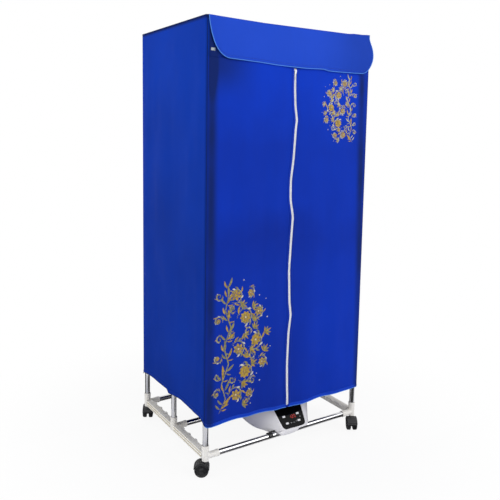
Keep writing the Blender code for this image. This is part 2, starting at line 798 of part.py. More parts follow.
def make_valance():
    """The flap over the head of the doors, standing a little proud, its lower left corner oval."""
    half = COVER_WIDTH / 2 - VALANCE_END_GAP
    corner = -half + VALANCE_CORNER_WIDTH * (1 - np.cos(np.linspace(0, math.pi / 2, 5)))
    x = np.concatenate([corner, np.linspace(corner[-1], half, 15)[1:]])
    drop = np.linspace(0.0, 1.0, 6)
    columns, rows = np.meshgrid(x, drop)
    inside = np.clip(1 - (columns + half) / VALANCE_CORNER_WIDTH, 0.0, 1.0)
    lift = VALANCE_CORNER_LIFT * (1 - np.sqrt(1 - inside ** 2))
    z = VALANCE_TOP - (VALANCE_DROP - lift) * rows
    wave = 0.75 + 0.25 * np.sin(2 * math.pi * columns / VALANCE_WAVE)
    belly = np.sin(rows * math.pi * 0.62) ** 2
    y = VALANCE_Y - CLOTH / 2 - VALANCE_BULGE * belly * wave
    points = np.stack([columns, y, z], -1)
    shape = sheet_mesh(points, np.array([0.0, CLOTH, 0.0]))
    hinge = Vector((0, VALANCE_Y, VALANCE_TOP))
    shape.transform(Matrix.Translation(-hinge))
    add_object("valance", shape, pale_blue(), Matrix.Translation(hinge))


def make_zip():
    """Two chains, the slider on the left one and its pull."""
    half = ZIP_CHAIN_THICKNESS / 2
    low = HEM_HEIGHT + ZIP_END_MARGIN
    tops = {"left": DOOR_TOP - ZIP_HEAD_GAP, "right": SLIDER_BOTTOM - SLIDER_NOTCH}
    for side, sign in SIDES:
        inner = sign * ZIP_GAP / 2
        outer = sign * (ZIP_GAP / 2 + ZIP_CHAIN_WIDTH)
        shape = box_mesh((min(inner, outer), DOOR_Y - half, low),
                         (max(inner, outer), DOOR_Y + half, tops[side]))
        add_object(f"zip_chain_{side}", shape, zip_white())
    face = half + FIT
    width = SLIDER_WIDTH / 2
    plates = [box_mesh((-width, -face - SLIDER_PLATE, SLIDER_BOTTOM), (width, -face, SLIDER_TOP)),
              box_mesh((-width, face, SLIDER_BOTTOM), (width, face + SLIDER_PLATE, SLIDER_TOP)),
              box_mesh((-SLIDER_POST / 2, -face - SLIDER_PLATE / 2, SLIDER_TOP - SLIDER_POST_HEIGHT),
                       (SLIDER_POST / 2, face + SLIDER_PLATE / 2, SLIDER_TOP))]
    pin_y = -face - SLIDER_PLATE - FIT - PULL_PIN_RADIUS
    pin_z = SLIDER_BOTTOM + PULL_PIN_RISE
    pull_x = -ZIP_GAP / 2 - PULL_WIDTH / 2
    for sign in (-1, 1):
        ear = pull_x + sign * (PULL_WIDTH / 2 + FIT)
        far = ear + sign * SLIDER_EAR
        plates.append(box_mesh((min(ear, far), pin_y - PULL_PIN_RADIUS, pin_z - SLIDER_EAR_HEIGHT / 2),
                               (max(ear, far), -face - SLIDER_PLATE / 2, pin_z + SLIDER_EAR_HEIGHT / 2)))
    slider = join(plates[0], plates[1:])
    slider.transform(Matrix.Translation((0, 0, -pin_z)))
    add_object("zip_slider", slider, zip_white(), Matrix.Translation((0, DOOR_Y, pin_z)))
    tab = box_mesh((-PULL_WIDTH / 2, -PULL_THICKNESS / 2, -PULL_LENGTH),
                   (PULL_WIDTH / 2, PULL_THICKNESS / 2, 0))
    pin = rod_mesh((-PULL_WIDTH / 2, 0, 0), (PULL_WIDTH / 2, 0, 0), PULL_PIN_RADIUS, 8)
    pull = join(tab, [pin])
    add_object("zip_pull", pull, zip_white(), Matrix.Translation((pull_x, DOOR_Y + pin_y, pin_z)))


# Heater

def hull_profile(inset, rim):
    """Radius and height of the hull's outer line, moved inwards by an inset."""
    wide = HULL_HALF_WIDTH - inset
    flat = HULL_FLAT * HULL_HALF_WIDTH - inset / 2
    angles = np.linspace(0, math.pi / 2, HULL_RINGS + 1)
    rise = HULL_RIM - HULL_BOTTOM - inset
    line = []
    for a in angles:
        line.append((flat + (wide - flat) * math.sin(a), HULL_BOTTOM + inset + rise * (1 - math.cos(a))))
    line.reverse()
    if rim > HULL_RIM:
        line.insert(0, (wide, rim))
    return [(0.0, line[0][1])] + line + [(0.0, line[-1][1])]


def hull_solid(inset, rim=HULL_RIM):
    squash = (HULL_HALF_DEPTH - inset) / (HULL_HALF_WIDTH - inset)
    shape = turned_mesh(hull_profile(inset, rim), HULL_SIDES, squash)
    shape.transform(Matrix.Translation((HEATER_X, HEATER_Y, 0)))
    return shape


def bar_groove(row):
    """The room of a base bar, open downwards so that the heater drops onto it."""
    y = row * UPRIGHT_Y
    r = bore(TUBE_RADIUS)
    reach = HULL_HALF_WIDTH + PAST
    low = HULL_BOTTOM - PAST
    rod = rod_mesh((HEATER_X - reach, y, BASE_BAR_HEIGHT), (HEATER_X + reach, y, BASE_BAR_HEIGHT), r)
    slot = box_mesh((HEATER_X - reach, y - r, low), (HEATER_X + reach, y + r, BASE_BAR_HEIGHT))
    return join(rod, [slot])


def screw_places():
    reach = HULL_HALF_WIDTH - SCREW_INSET
    return [(HEATER_X - reach, HEATER_Y), (HEATER_X + reach, HEATER_Y)]


def make_heater_base():
    """The hull, with two rear legs that sit on the middle base bar and a boss for each lid screw."""
    shape = hull_solid(0.0)
    legs = []
    for sign in (-1, 1):
        x = HEATER_X + sign * LEG_OFFSET
        legs.append(box_mesh((x - LEG_WIDTH / 2, -LEG_LENGTH, BASE_BAR_HEIGHT),
                             (x + LEG_WIDTH / 2, TUBE_RADIUS + LEG_TOE, HULL_BOTTOM + LEG_HEIGHT)))
    shape = cut(join(shape, legs), [hull_solid(HULL_WALL, HULL_OPEN), bar_groove(0)])
    bosses = []
    for x, y in screw_places():
        top = HULL_RIM - BOSS_TOP
        bosses.append(rod_mesh((x, y, top - BOSS_HEIGHT), (x, y, top), BOSS_RADIUS, 8))
    trimmed = []
    for boss in bosses:
        trimmed.append(combine(boss, [hull_solid(HULL_WALL / 2, HULL_OPEN)], "INTERSECT"))
    shape = join(shape, trimmed)
    drills = []
    for x, y in screw_places():
        low = HULL_RIM - BOSS_TOP - SCREW_LENGTH
        drills.append(rod_mesh((x, y, low), (x, y, HULL_OPEN), bore(SCREW_SHANK_RADIUS, 8), 8))
    intake = rod_mesh((HEATER_X, HEATER_Y, HULL_BOTTOM - PAST),
                      (HEATER_X, HEATER_Y, HULL_BOTTOM + 2 * HULL_WALL), INTAKE_RADIUS, 20)
    rear = HEATER_Y + HULL_HALF_DEPTH + PAST
    gland = rod_mesh((HEATER_X, HEATER_Y, GLAND_HEIGHT), (HEATER_X, rear, GLAND_HEIGHT), bore(GLAND_RADIUS))
    add_object("heater_base", smooth(cut(shape, drills + [intake, gland])), white())


def make_heater_top():
    """A crowned oval lid with outlet slots, and a skirt that stands inside the hull's rim."""
    seat = HULL_RIM + FIT
    shares = np.linspace(0.0, 1.0, LID_RINGS + 1)
    outer = [(HULL_HALF_WIDTH * k, seat + LID_WALL + LID_CROWN * (1 - k ** 2)) for k in shares]
    inside = HULL_HALF_WIDTH - LID_RIM
    inner = [(inside * k, seat + LID_CROWN * (1 - k ** 2)) for k in shares[::-1]]
    squash = HULL_HALF_DEPTH / HULL_HALF_WIDTH
    shape = turned_mesh(outer + [(HULL_HALF_WIDTH, seat)] + inner, HULL_SIDES, squash)
    skirt_x = HULL_HALF_WIDTH - HULL_WALL - SKIRT_GAP
    skirt_y = HULL_HALF_DEPTH - HULL_WALL - SKIRT_GAP
    low = HULL_RIM - SKIRT_DEPTH
    ring = [(skirt_x, seat + LID_WALL / 2), (skirt_x, low), (skirt_x - LID_WALL, low),
            (skirt_x - LID_WALL, seat + LID_WALL / 2)]
    shape = join(shape, [turned_mesh(ring, HULL_SIDES, skirt_y / skirt_x)])
    shape.transform(Matrix.Translation((HEATER_X, HEATER_Y, 0)))
    slots = []
    for k in range(LID_SLOTS):
        x = HEATER_X + (k - (LID_SLOTS - 1) / 2) * LID_SLOT_PITCH
        reach = 0.5 * LID_SLOT_LENGTH * math.sqrt(1 - ((x - HEATER_X) / HULL_HALF_WIDTH) ** 2)
        slots.append(box_mesh((x - LID_SLOT_WIDTH / 2, HEATER_Y - reach, HULL_RIM - FIT),
                              (x + LID_SLOT_WIDTH / 2, HEATER_Y + reach, HULL_OPEN)))
    holes = []
    for x, y in screw_places():
        holes.append(rod_mesh((x, y, HULL_RIM - PAST), (x, y, HULL_OPEN), bore(SCREW_SHANK_RADIUS, 8), 8))
    add_object("heater_top", smooth(cut(shape, slots + holes)), white())


def lid_height(x):
    """Height of the lid's upper face on the heater's long axis."""
    return HULL_RIM + FIT + LID_WALL + LID_CROWN * (1 - ((x - HEATER_X) / HULL_HALF_WIDTH) ** 2)


def make_screws():
    """The lid's two screws."""
    for name, (x, y) in zip(("lid_screw_left", "lid_screw_right"), screw_places()):
        seat = lid_height(x) + SCREW_SEAT_GAP
        top = seat + SCREW_HEAD_HEIGHT
        tip = HULL_RIM - BOSS_TOP - SCREW_LENGTH + FIT
        r = SCREW_HEAD_RADIUS
        profile = [(0.0, top), (0.7 * r, top), (r, seat + SCREW_HEAD_HEIGHT / 3), (r, seat),
                   (SCREW_SHANK_RADIUS, seat), (SCREW_SHANK_RADIUS, tip), (0.0, tip)]
        add_object(name, turned_mesh(profile, 8), steel(), Matrix.Translation((x, y, 0)))


def make_intake_grille():
    """A spoked disc in the hull's intake, with the motor's seat in its middle."""
    disc = rod_mesh((0, 0, 0), (0, 0, HULL_WALL), INTAKE_RADIUS - FIT, 20)
    seat = MOTOR_RADIUS + MOTOR_SEAT
    windows = []
    for k in range(INTAKE_SPOKES):
        window = box_mesh((seat, -INTAKE_WINDOW / 2, -PAST),
                          (INTAKE_RADIUS - INTAKE_RIM, INTAKE_WINDOW / 2, PAST))
        windows.append(placed(window, Matrix.Rotation(2 * math.pi * k / INTAKE_SPOKES, 4, "Z")))
    shape = smooth(cut(disc, windows))
    add_object("intake_grille", shape, white(), Matrix.Translation((HEATER_X, HEATER_Y, HULL_BOTTOM)))


def motor_floor():
    return HULL_BOTTOM + HULL_WALL + FIT


def make_motor():
    """A small fan motor with its shaft."""
    top = MOTOR_HEIGHT
    neck = MOTOR_HEIGHT + MOTOR_NECK_HEIGHT
    end = MOTOR_HEIGHT + SHAFT_LENGTH
    r = MOTOR_RADIUS
    profile = [(0.0, end), (SHAFT_RADIUS, end), (SHAFT_RADIUS, neck), (MOTOR_NECK_RADIUS, neck),
               (MOTOR_NECK_RADIUS, top), (r - MOTOR_CHAMFER, top), (r, top - MOTOR_CHAMFER),
               (r, 0.0), (0.0, 0.0)]
    shape = smooth(turned_mesh(profile, 16))
    add_object("fan_motor", shape, steel(), Matrix.Translation((HEATER_X, HEATER_Y, motor_floor())))


def make_impeller():
    """An axial fan about the motor shaft."""
    hub = rod_mesh((0, 0, 0), (0, 0, FAN_HUB_HEIGHT), FAN_HUB_RADIUS, 14)
    blades = []
    for k in range(FAN_BLADES):
        blade = box_mesh((FAN_HUB_RADIUS - FAN_BLADE_ROOT, -FAN_BLADE_CHORD / 2, -FAN_BLADE_THICKNESS / 2),
                         (FAN_RADIUS, FAN_BLADE_CHORD / 2, FAN_BLADE_THICKNESS / 2))
        pitch = Matrix.Translation((0, 0, FAN_HUB_HEIGHT / 2)) @ Matrix.Rotation(FAN_BLADE_PITCH, 4, "X")
        blades.append(placed(blade, Matrix.Rotation(2 * math.pi * k / FAN_BLADES, 4, "Z") @ pitch))
    shaft_hole = rod_mesh((0, 0, -PAST), (0, 0, FAN_HUB_HEIGHT + PAST), bore(SHAFT_RADIUS))
    shape = smooth(cut(join(hub, blades), [shaft_hole]))
    height = motor_floor() + MOTOR_HEIGHT + MOTOR_NECK_HEIGHT + FIT
    add_object("impeller", shape, black(), Matrix.Translation((HEATER_X, HEATER_Y, height)))


def make_element():
    """A finned heating block in a plate that rests on the hull's taper."""
    half_w = ELEMENT_WIDTH / 2
    half_d = ELEMENT_DEPTH / 2
    block = box_mesh((-half_w, -half_d, 0), (half_w, half_d, ELEMENT_HEIGHT))
    pitch = ELEMENT_WIDTH / ELEMENT_SLOTS
    reach = half_d - ELEMENT_BORDER
    slots = []
    for k in range(ELEMENT_SLOTS):
        x = -half_w + (k + 0.5) * pitch
        slots.append(box_mesh((x - ELEMENT_SLOT_WIDTH / 2, -reach, -PAST),
                              (x + ELEMENT_SLOT_WIDTH / 2, reach, ELEMENT_HEIGHT + PAST)))
    ledge = HOLDER_HEIGHT + HOLDER_PLATE / 2
    place = Matrix.Translation((HEATER_X, HEATER_Y, ledge + FIT))
    add_object("heating_element", cut(block, slots), ceramic(), place)
    top = HOLDER_HEIGHT + HOLDER_PLATE
    slab = box_mesh((HEATER_X - HULL_HALF_WIDTH, HEATER_Y - HULL_HALF_DEPTH, HOLDER_HEIGHT),
                    (HEATER_X + HULL_HALF_WIDTH, HEATER_Y + HULL_HALF_DEPTH, top))
    plate = combine(slab, [hull_solid(HULL_WALL + 2 * FIT, HULL_OPEN)], "INTERSECT")
    recess = box_mesh((HEATER_X - half_w - FIT, HEATER_Y - half_d - FIT, ledge),
                      (HEATER_X + half_w + FIT, HEATER_Y + half_d + FIT, top + PAST))
    inner_w = half_w - HOLDER_LEDGE
    inner_d = half_d - HOLDER_LEDGE
    window = box_mesh((HEATER_X - inner_w, HEATER_Y - inner_d, HOLDER_HEIGHT - PAST),
                      (HEATER_X + inner_w, HEATER_Y + inner_d, top + PAST))
    posts = []
    for x, y in screw_places():
        posts.append(rod_mesh((x, y, HOLDER_HEIGHT - PAST), (x, y, top + PAST), bore(BOSS_RADIUS, 8), 8))
    add_object("element_holder", cut(plate, [recess, window] + posts), steel())


def panel_outline(grow, low=None, high=None, corner=None):
    """The control panel's outline in its own plane, grown or shrunk all round."""
    low = -(PANEL_LOW + grow) if low is None else low
    high = PANEL_HIGH + grow if high is None else high
    slope = (PANEL_HIGH_HALF - PANEL_LOW_HALF) / (PANEL_HIGH + PANEL_LOW)
    low_half = PANEL_LOW_HALF + grow + slope * (low + PANEL_LOW)
    high_half = PANEL_LOW_HALF + grow + slope * (high + PANEL_LOW)
    radius = PANEL_CORNER + grow if corner is None else corner
    corners = [(-low_half, low), (low_half, low), (high_half, high), (-high_half, high)]
    return rounded_outline(corners, [radius, radius, 0.4 * radius, 0.4 * radius])


def in_panel(mesh):
    """Move a shape from the panel's own axes to the heater."""
    return placed(mesh, PANEL_FRAME)


def pod_section():
    """The pod's side section, as (y, z) points from its top rear corner over the face to its foot."""
    up = Vector((math.sin(PANEL_LEAN), math.cos(PANEL_LEAN)))
    centre = Vector((PANEL_Y, PANEL_Z))
    head = centre + up * (PANEL_HIGH + BEZEL)
    chin = centre - up * (PANEL_LOW + BEZEL)
    lip = -UPRIGHT_Y - TUBE_RADIUS - POD_LIP
    toe = lip + POD_FOOT_STEP
    return [(head.x + POD_DEPTH, head.y + POD_HEAD_RISE), tuple(head), tuple(chin),
            (min(chin.x, lip), chin.y - POD_CHIN_DROP), (toe, POD_BOTTOM), (toe + POD_DEPTH, POD_BOTTOM)]


def make_control_pod():
    """The wedge-shaped pod that hooks over the front base bar and carries the control panel."""
    wide = PANEL_HIGH_HALF + 4 * BEZEL
    block = prism_mesh(pod_section(), -wide, wide)
    block.transform(Matrix(((0, 0, 1, HEATER_X), (1, 0, 0, 0), (0, 1, 0, 0), (0, 0, 0, 1))))
    outline = panel_outline(BEZEL, low=-(PANEL_LOW + 3 * BEZEL), high=PANEL_HIGH + 2 * BEZEL)
    mask = in_panel(prism_mesh(outline, -2 * POD_DEPTH, PAST))
    shape = combine(block, [mask], "INTERSECT")
    recess = in_panel(prism_mesh(panel_outline(FIT), PANEL_BACK - FIT, PAST))
    shallow_floor = -BOARD_DEPTH + SWITCH_HEIGHT / 2
    shallow = in_panel(prism_mesh(panel_outline(-POD_WALL), shallow_floor, 0.0))
    room = panel_outline(-POD_WALL - FIT, low=BOARD_LOW, high=BOARD_HIGH, corner=POD_CAVITY_CORNER)
    deep = in_panel(prism_mesh(room, -POD_DEPTH, shallow_floor + POD_WALL / 2))
    cutters = [hull_solid(-FIT, HULL_OPEN), bar_groove(-1), recess, shallow, deep]
    add_object("control_pod", smooth(cut(shape, cutters), 25), white())


def make_control_panel():
    """The glossy front, its display window and four button holes."""
    face = prism_mesh(panel_outline(0.0), PANEL_BACK, PANEL_PROUD)
    holes = []
    for x, u in BUTTONS.values():
        half_w = BUTTON_WIDTH / 2 + FIT
        half_h = BUTTON_HEIGHT / 2 + FIT
        holes.append(box_mesh((x - half_w, u - half_h, -PAST), (x + half_w, u + half_h, PAST)))
    add_object("control_panel", in_panel(cut(face, holes)), glossy())


def make_buttons():
    """Four caps held behind the panel by their flanges, each over a switch with its travel between."""
    back = PANEL_BACK - FIT
    tip = -BOARD_DEPTH + SWITCH_HEIGHT + BUTTON_TRAVEL + BUTTON_PLAY
    p = BUTTON_PLUNGER_HALF
    for name, (x, u) in BUTTONS.items():
        half_w = BUTTON_WIDTH / 2
        half_h = BUTTON_HEIGHT / 2
        wide = half_w + BUTTON_FLANGE_REACH
        tall = half_h + BUTTON_FLANGE_REACH
        inside = back - BUTTON_FLANGE / 2
        cap = box_mesh((-half_w, -half_h, inside), (half_w, half_h, PANEL_PROUD + BUTTON_PROUD))
        flange = box_mesh((-wide, -tall, back - BUTTON_FLANGE), (wide, tall, back))
        plunger = box_mesh((-p, -p, tip), (p, p, inside))
        shape = join(cap, [flange, plunger])
        add_object(name, shape, white(), PANEL_FRAME @ Matrix.Translation((x, u, 0)))


def make_board():
    """The circuit board with its four switches and its digit block."""
    outline = panel_outline(-POD_WALL - 2 * FIT, low=BOARD_LOW + FIT, high=BOARD_HIGH - FIT,
                            corner=POD_CAVITY_CORNER - FIT)
    board = prism_mesh(outline, -BOARD_DEPTH - BOARD_THICKNESS, -BOARD_DEPTH)
    switches = []
    for x, u in BUTTONS.values():
        switches.append(box_mesh((x - SWITCH_HALF, u - SWITCH_HALF, -BOARD_DEPTH - SWITCH_ROOT),
                                 (x + SWITCH_HALF, u + SWITCH_HALF, -BOARD_DEPTH + SWITCH_HEIGHT)))
    half_w = DISPLAY_WIDTH / 2
    half_h = DISPLAY_HEIGHT / 2
    digits = box_mesh((DISPLAY_X - half_w, DISPLAY_U - half_h, -BOARD_DEPTH - BOARD_THICKNESS / 2),
                      (DISPLAY_X + half_w, DISPLAY_U + half_h, PANEL_BACK - FIT))
    add_object("control_board", in_panel(join(board, switches + [digits])), board_green())


def make_bar_clip():
    """A black hook between the hull and the front base bar, beside the pod."""
    inner = bore(TUBE_RADIUS)
    outer = inner + CLIP_WALL
    angles = [math.radians(a) for a in range(-60, 181, 30)]
    arc = [(math.cos(a), math.sin(a)) for a in angles]
    outline = [(y * outer, z * outer) for y, z in arc] + [(y * inner, z * inner) for y, z in reversed(arc)]
    hook = prism_mesh(outline, -CLIP_WIDTH / 2, CLIP_WIDTH / 2)
    place = Matrix(((0, 0, 1, CLIP_X), (1, 0, 0, -UPRIGHT_Y), (0, 1, 0, BASE_BAR_HEIGHT), (0, 0, 0, 1)))
    hook.transform(place)
    arm = box_mesh((CLIP_X - CLIP_WIDTH / 2, -UPRIGHT_Y + inner, BASE_BAR_HEIGHT),
                   (CLIP_X + CLIP_WIDTH / 2, HEATER_Y, BASE_BAR_HEIGHT + TUBE_RADIUS))
    shape = cut(join(hook, [arm]), [hull_solid(-FIT, HULL_OPEN)])
    add_object("bar_clip", smooth(shape), black())


def make_gland():
    """The power lead's inlet gland in the hull's rear wall."""
    rise = (GLAND_HEIGHT - HULL_BOTTOM) / (HULL_RIM - HULL_BOTTOM)
    reach = HULL_FLAT + (1 - HULL_FLAT) * math.sin(math.acos(1 - rise))
    wall_y = HEATER_Y + HULL_HALF_DEPTH * reach
    flange = GLAND_INSIDE + GLAND_STAND_OFF
    profile = [(0.0, flange + GLAND_LENGTH), (GLAND_TIP_RADIUS, flange + GLAND_LENGTH),
               (GLAND_NECK_RADIUS, flange + GLAND_FLANGE), (GLAND_FLANGE_RADIUS, flange),
               (GLAND_RADIUS, flange), (GLAND_RADIUS, 0.0), (0.0, 0.0)]
    shape = smooth(turned_mesh(profile, TUBE_SIDES))
    inner = wall_y - GLAND_INSIDE
    place = Matrix.Translation((HEATER_X, inner, GLAND_HEIGHT)) @ Matrix.Rotation(-math.pi / 2, 4, "X")
    add_object("cord_gland", shape, black(), place)


make_rails()
make_uprights()
make_bars()
make_castors()
make_cover_body()
make_doors()
make_valance()
make_zip()
make_heater_base()
make_heater_top()
make_screws()
make_intake_grille()
make_motor()
make_impeller()
make_element()
make_control_pod()
make_control_panel()
make_buttons()
make_board()
make_bar_clip()
make_gland()
bpy.context.view_layer.update()
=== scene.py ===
"""Portable clothes dryer: a tube frame on castors, a zipped fabric cover and an oval fan heater."""
import math

import bmesh
import bpy
import numpy as np
from mathutils import Matrix, Vector
from mathutils.geometry import tessellate_polygon


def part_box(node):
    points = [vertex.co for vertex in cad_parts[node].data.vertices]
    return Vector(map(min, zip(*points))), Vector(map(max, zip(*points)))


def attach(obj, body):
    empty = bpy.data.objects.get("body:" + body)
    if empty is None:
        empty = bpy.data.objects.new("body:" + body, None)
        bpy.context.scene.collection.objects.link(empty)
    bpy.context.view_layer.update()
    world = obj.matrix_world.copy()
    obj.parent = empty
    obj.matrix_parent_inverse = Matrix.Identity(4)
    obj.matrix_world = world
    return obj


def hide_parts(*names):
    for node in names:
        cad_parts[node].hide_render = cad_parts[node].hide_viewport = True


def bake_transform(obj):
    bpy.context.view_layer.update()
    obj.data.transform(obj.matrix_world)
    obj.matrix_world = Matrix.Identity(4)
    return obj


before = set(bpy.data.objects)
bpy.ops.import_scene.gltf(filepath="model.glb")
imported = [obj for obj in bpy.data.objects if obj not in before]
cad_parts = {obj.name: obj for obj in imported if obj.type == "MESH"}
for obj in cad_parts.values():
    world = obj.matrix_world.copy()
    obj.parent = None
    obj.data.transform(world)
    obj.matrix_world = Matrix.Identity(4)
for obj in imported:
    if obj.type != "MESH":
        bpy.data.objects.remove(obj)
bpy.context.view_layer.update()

# Frame and cover sizes, in metres

UPRIGHT_X = 0.326
UPRIGHT_Y = 0.236
BAR_HEIGHTS = {"base": 0.068, "middle": 0.780, "top": 1.486}
TUBE_RADIUS = 0.0095
TUBE_WALL = 0.0010
HALF_WIDTH = 0.340
HALF_DEPTH = 0.250
CORNER = 0.012
CLOTH = 0.0007
HEM = 0.172
TOP = 1.499
DOOR_TOP = 1.3740
HINGE_X = 0.325
SEAM_X = 0.3368
SIDES = (("left", -1), ("right", 1))
ROWS = (("front", -1), ("middle", 0), ("rear", 1))


# Shader values

class Value:
    """A socket of a finish; arithmetic on it adds Math nodes."""

    def __init__(self, finish, socket):
        self.finish = finish
        self.socket = socket

    def math(self, operation, *others):
        return self.finish.node("ShaderNodeMath", {"operation": operation}, dict(enumerate((self, *others))))

    def __add__(self, other):
        return self.math("ADD", other)

    def __sub__(self, other):
        return self.math("SUBTRACT", other)

    def __rsub__(self, other):
        return self.finish.node("ShaderNodeMath", {"operation": "SUBTRACT"}, {0: other, 1: self})

    def __mul__(self, other):
        return self.math("MULTIPLY", other)

    def __truediv__(self, other):
        return self.math("DIVIDE", other)

    __radd__ = __add__
    __rmul__ = __mul__

    def step(self, low, high):
        """Rises smoothly from 0 at low to 1 at high."""
        settings = {"interpolation_type": "SMOOTHSTEP"}
        return self.finish.node("ShaderNodeMapRange", settings, {0: self, 1: low, 2: high})


class Finish:
    """A material whose constants sit on its shader's own sockets."""

    def __init__(self, name, roughness, metallic=0.0, **constants):
        self.material = bpy.data.materials.new(name)
        self.material.use_nodes = True
        self.nodes = self.material.node_tree.nodes
        self.links = self.material.node_tree.links
        self.shader = self.nodes["Principled BSDF"]
        self.set("Roughness", roughness)
        self.set("Metallic", metallic)
        for key, value in constants.items():
            self.set(key.replace("_", " "), value)

    def set(self, key, value):
        if isinstance(value, Value):
            self.links.new(value.socket, self.shader.inputs[key])
        else:
            self.shader.inputs[key].default_value = value

    def node(self, kind, settings=None, values=None, output=0):
        """Adds a node: its settings first, then the values or links of its sockets."""
        made = self.nodes.new(kind)
        for key, value in (settings or {}).items():
            if key == "stops":
                ramp = made.color_ramp.elements
                while len(ramp) < len(value):
                    ramp.new(1.0)
                for spot, (position, colour) in zip(ramp, value):
                    spot.position = position
                    spot.color = colour
            else:
                setattr(made, key, value)
        for key, value in (values or {}).items():
            if isinstance(value, Value):
                self.links.new(value.socket, made.inputs[key])
            else:
                made.inputs[key].default_value = value
        return Value(self, made.outputs[output])

    def place(self, stretch=(1.0, 1.0, 1.0)):
        """Object coordinates, stretched along their axes."""
        spot = self.node("ShaderNodeTexCoord", output="Object")
        return self.node("ShaderNodeVectorMath", {"operation": "MULTIPLY"}, {0: spot, 1: stretch})

    def parts(self, vector):
        """The three numbers of a vector."""
        split = self.node("ShaderNodeSeparateXYZ", None, {0: vector})
        return [Value(self, socket) for socket in split.socket.node.outputs]

    def noise(self, scale, detail=2.0, roughness=0.5, vector=None):
        spot = vector or self.place()
        values = {"Vector": spot, "Scale": scale, "Detail": detail, "Roughness": roughness}
        return self.node("ShaderNodeTexNoise", None, values)

    def blend(self, factor, first, second):
        """Mixes two colours by a factor."""
        return self.node("ShaderNodeMix", {"data_type": "RGBA"}, {0: factor, 6: first, 7: second}, 2)

    def bump(self, height, distance, strength=1.0):
        self.set("Normal", self.node("ShaderNodeBump", None,
                                     {"Height": height, "Distance": distance, "Strength": strength}))


def tone(red, green, blue):
    """A screen colour, 0 to 255, as the light it stands for."""
    share = np.array([red, green, blue]) / 255
    light = np.where(share <= 0.04045, share / 12.92, ((share + 0.055) / 1.055) ** 2.4)
    return (*light.tolist(), 1.0)


def cloth_finish(name, deep, bright, sheen=0.02, gloss=0.07, dark=None, head=None, folds=None, right_end_shade=0.0):
    """Plain-woven polyester: threads 0.8 mm apart, faint slubs and soft shade changes.

    dark is the painted shade round the front corner posts, beneath the valance and above the heights of head.
    folds are (height, level) pairs: painted light and shade of the slack cloth's folds, how bright it is at
    each height.
    fade is how much painted shade darkens the cloth towards its right end.
    """
    cloth = Finish(name, 0.62, Sheen_Weight=sheen, Sheen_Roughness=0.45, Specular_IOR_Level=gloss)
    cloth.set("Sheen Tint", (0.45, 0.6, 1.0, 1.0))
    across, up, _ = cloth.parts(cloth.node("ShaderNodeUVMap", {"uv_map": "cloth"}))
    thread = 2 * math.pi / 0.0016
    weave = (across * thread).math("SINE") * (up * thread).math("SINE")
    slub = cloth.noise(70.0, 3.0, 0.6, cloth.place((1.0, 1.0, 0.12)))
    shade = cloth.noise(3.2, 3.0, 0.55)
    side, depth, height = cloth.parts(cloth.place())
    forward = 0.0 - depth
    # Painted light: a brighter patch low on the right of the front.
    glow = side.step(0.02, 0.14) * (1.0 - height.step(0.45, 0.95)) * forward.step(0.20, 0.24)
    # Painted shade: without folds, the cloth darkens towards its right end.
    level = 0.95 - right_end_shade * side.step(0.06, 0.32)
    # Painted light and shade of the slack cloth's folds: brightness read from the height.
    if folds:
        stops = [(level_height / 1.5, (share, share, share, 1.0)) for level_height, share in folds]
        place = height / 1.5 + side * 0.03 + (shade - 0.5) * 0.10
        level = cloth.node("ShaderNodeValToRGB", {"stops": stops}, {0: place}) + glow * 0.25
    # Where each spot sits between the deep and the bright tone: painted light and shade, with random
    # mottling.
    bloom = (shade - 0.5) * 0.6 + (slub - 0.5) * 0.15 + level
    colour = cloth.blend(bloom, deep, bright)
    if dark:
        # Painted shade: dark bands round the front corner posts, a painted shadow beneath the left of the
        # valance, and painted shade above the heights of head.
        reach = side.math("ABSOLUTE") + (height - 0.75) * 0.03 * side.step(0.0, 0.1)
        corner_shade = reach.step(0.292, 0.320) * (1.0 - 0.45 * reach.step(0.324, 0.338))
        corner_shade = corner_shade * forward.step(0.236, 0.2485) * (0.65 + 0.35 * shade.step(0.35, 0.6))
        valance_shadow = height.step(1.22, 1.35) * (0.0 - side).step(0.12, 0.30) * forward.step(0.2495, 0.2502)
        shadow = corner_shade + valance_shadow * 0.75
        if head:
            shadow = shadow + height.step(*head)
        colour = cloth.blend(shadow, colour, dark)
    cloth.set("Base Color", colour)
    cloth.set("Roughness", 0.56 + 0.14 * slub)
    crease = cloth.noise(26.0, 4.0, 0.6, cloth.place((1.0, 1.0, 0.35)))
    cloth.bump(0.00010 * weave + 0.00012 * slub + 0.0010 * crease, 1.0, 0.55)
    return cloth.material


def plastic_finish(name, colour, darker, roughness, grain=900.0, grain_depth=0.00002, inner=None,
                   **constants):
    """Moulded plastic with a fine grain, flow marks and scuffs; inner is the painted shade it takes away from
    the front.
    """
    plastic = Finish(name, roughness, **constants)
    flow = plastic.noise(9.0, 3.0, 0.5)
    # Painted shade: the colour turns to inner towards the back.
    if inner:
        depth = plastic.parts(plastic.place())[1]
        colour = plastic.blend(depth.step(-0.232, -0.150), colour, inner)
    fine = plastic.noise(grain, 2.0, 0.5)
    scuff = plastic.noise(140.0, 4.0, 0.7).step(0.60, 0.72)
    plastic.set("Base Color", plastic.blend(flow.step(0.35, 0.75) * 0.6 + scuff * 0.25, colour, darker))
    plastic.set("Roughness", roughness + 0.10 * (flow - 0.5) + 0.08 * scuff)
    plastic.bump(fine, grain_depth, 0.6)
    return plastic.material


def chrome_finish():
    """Bright chromed steel: fine drawn lines and a light haze."""
    chrome = Finish("chromed_steel", 0.08, 1.0)
    haze = chrome.noise(14.0, 4.0, 0.6)
    drawn = chrome.noise(500.0, 2.0, 0.5, chrome.place((1.0, 1.0, 0.02)))
    chrome.set("Base Color", chrome.blend(haze.step(0.3, 0.8), tone(222, 222, 224), tone(194, 195, 199)))
    chrome.set("Roughness", 0.07 + 0.09 * haze.step(0.45, 0.85) + 0.03 * drawn)
    return chrome.material


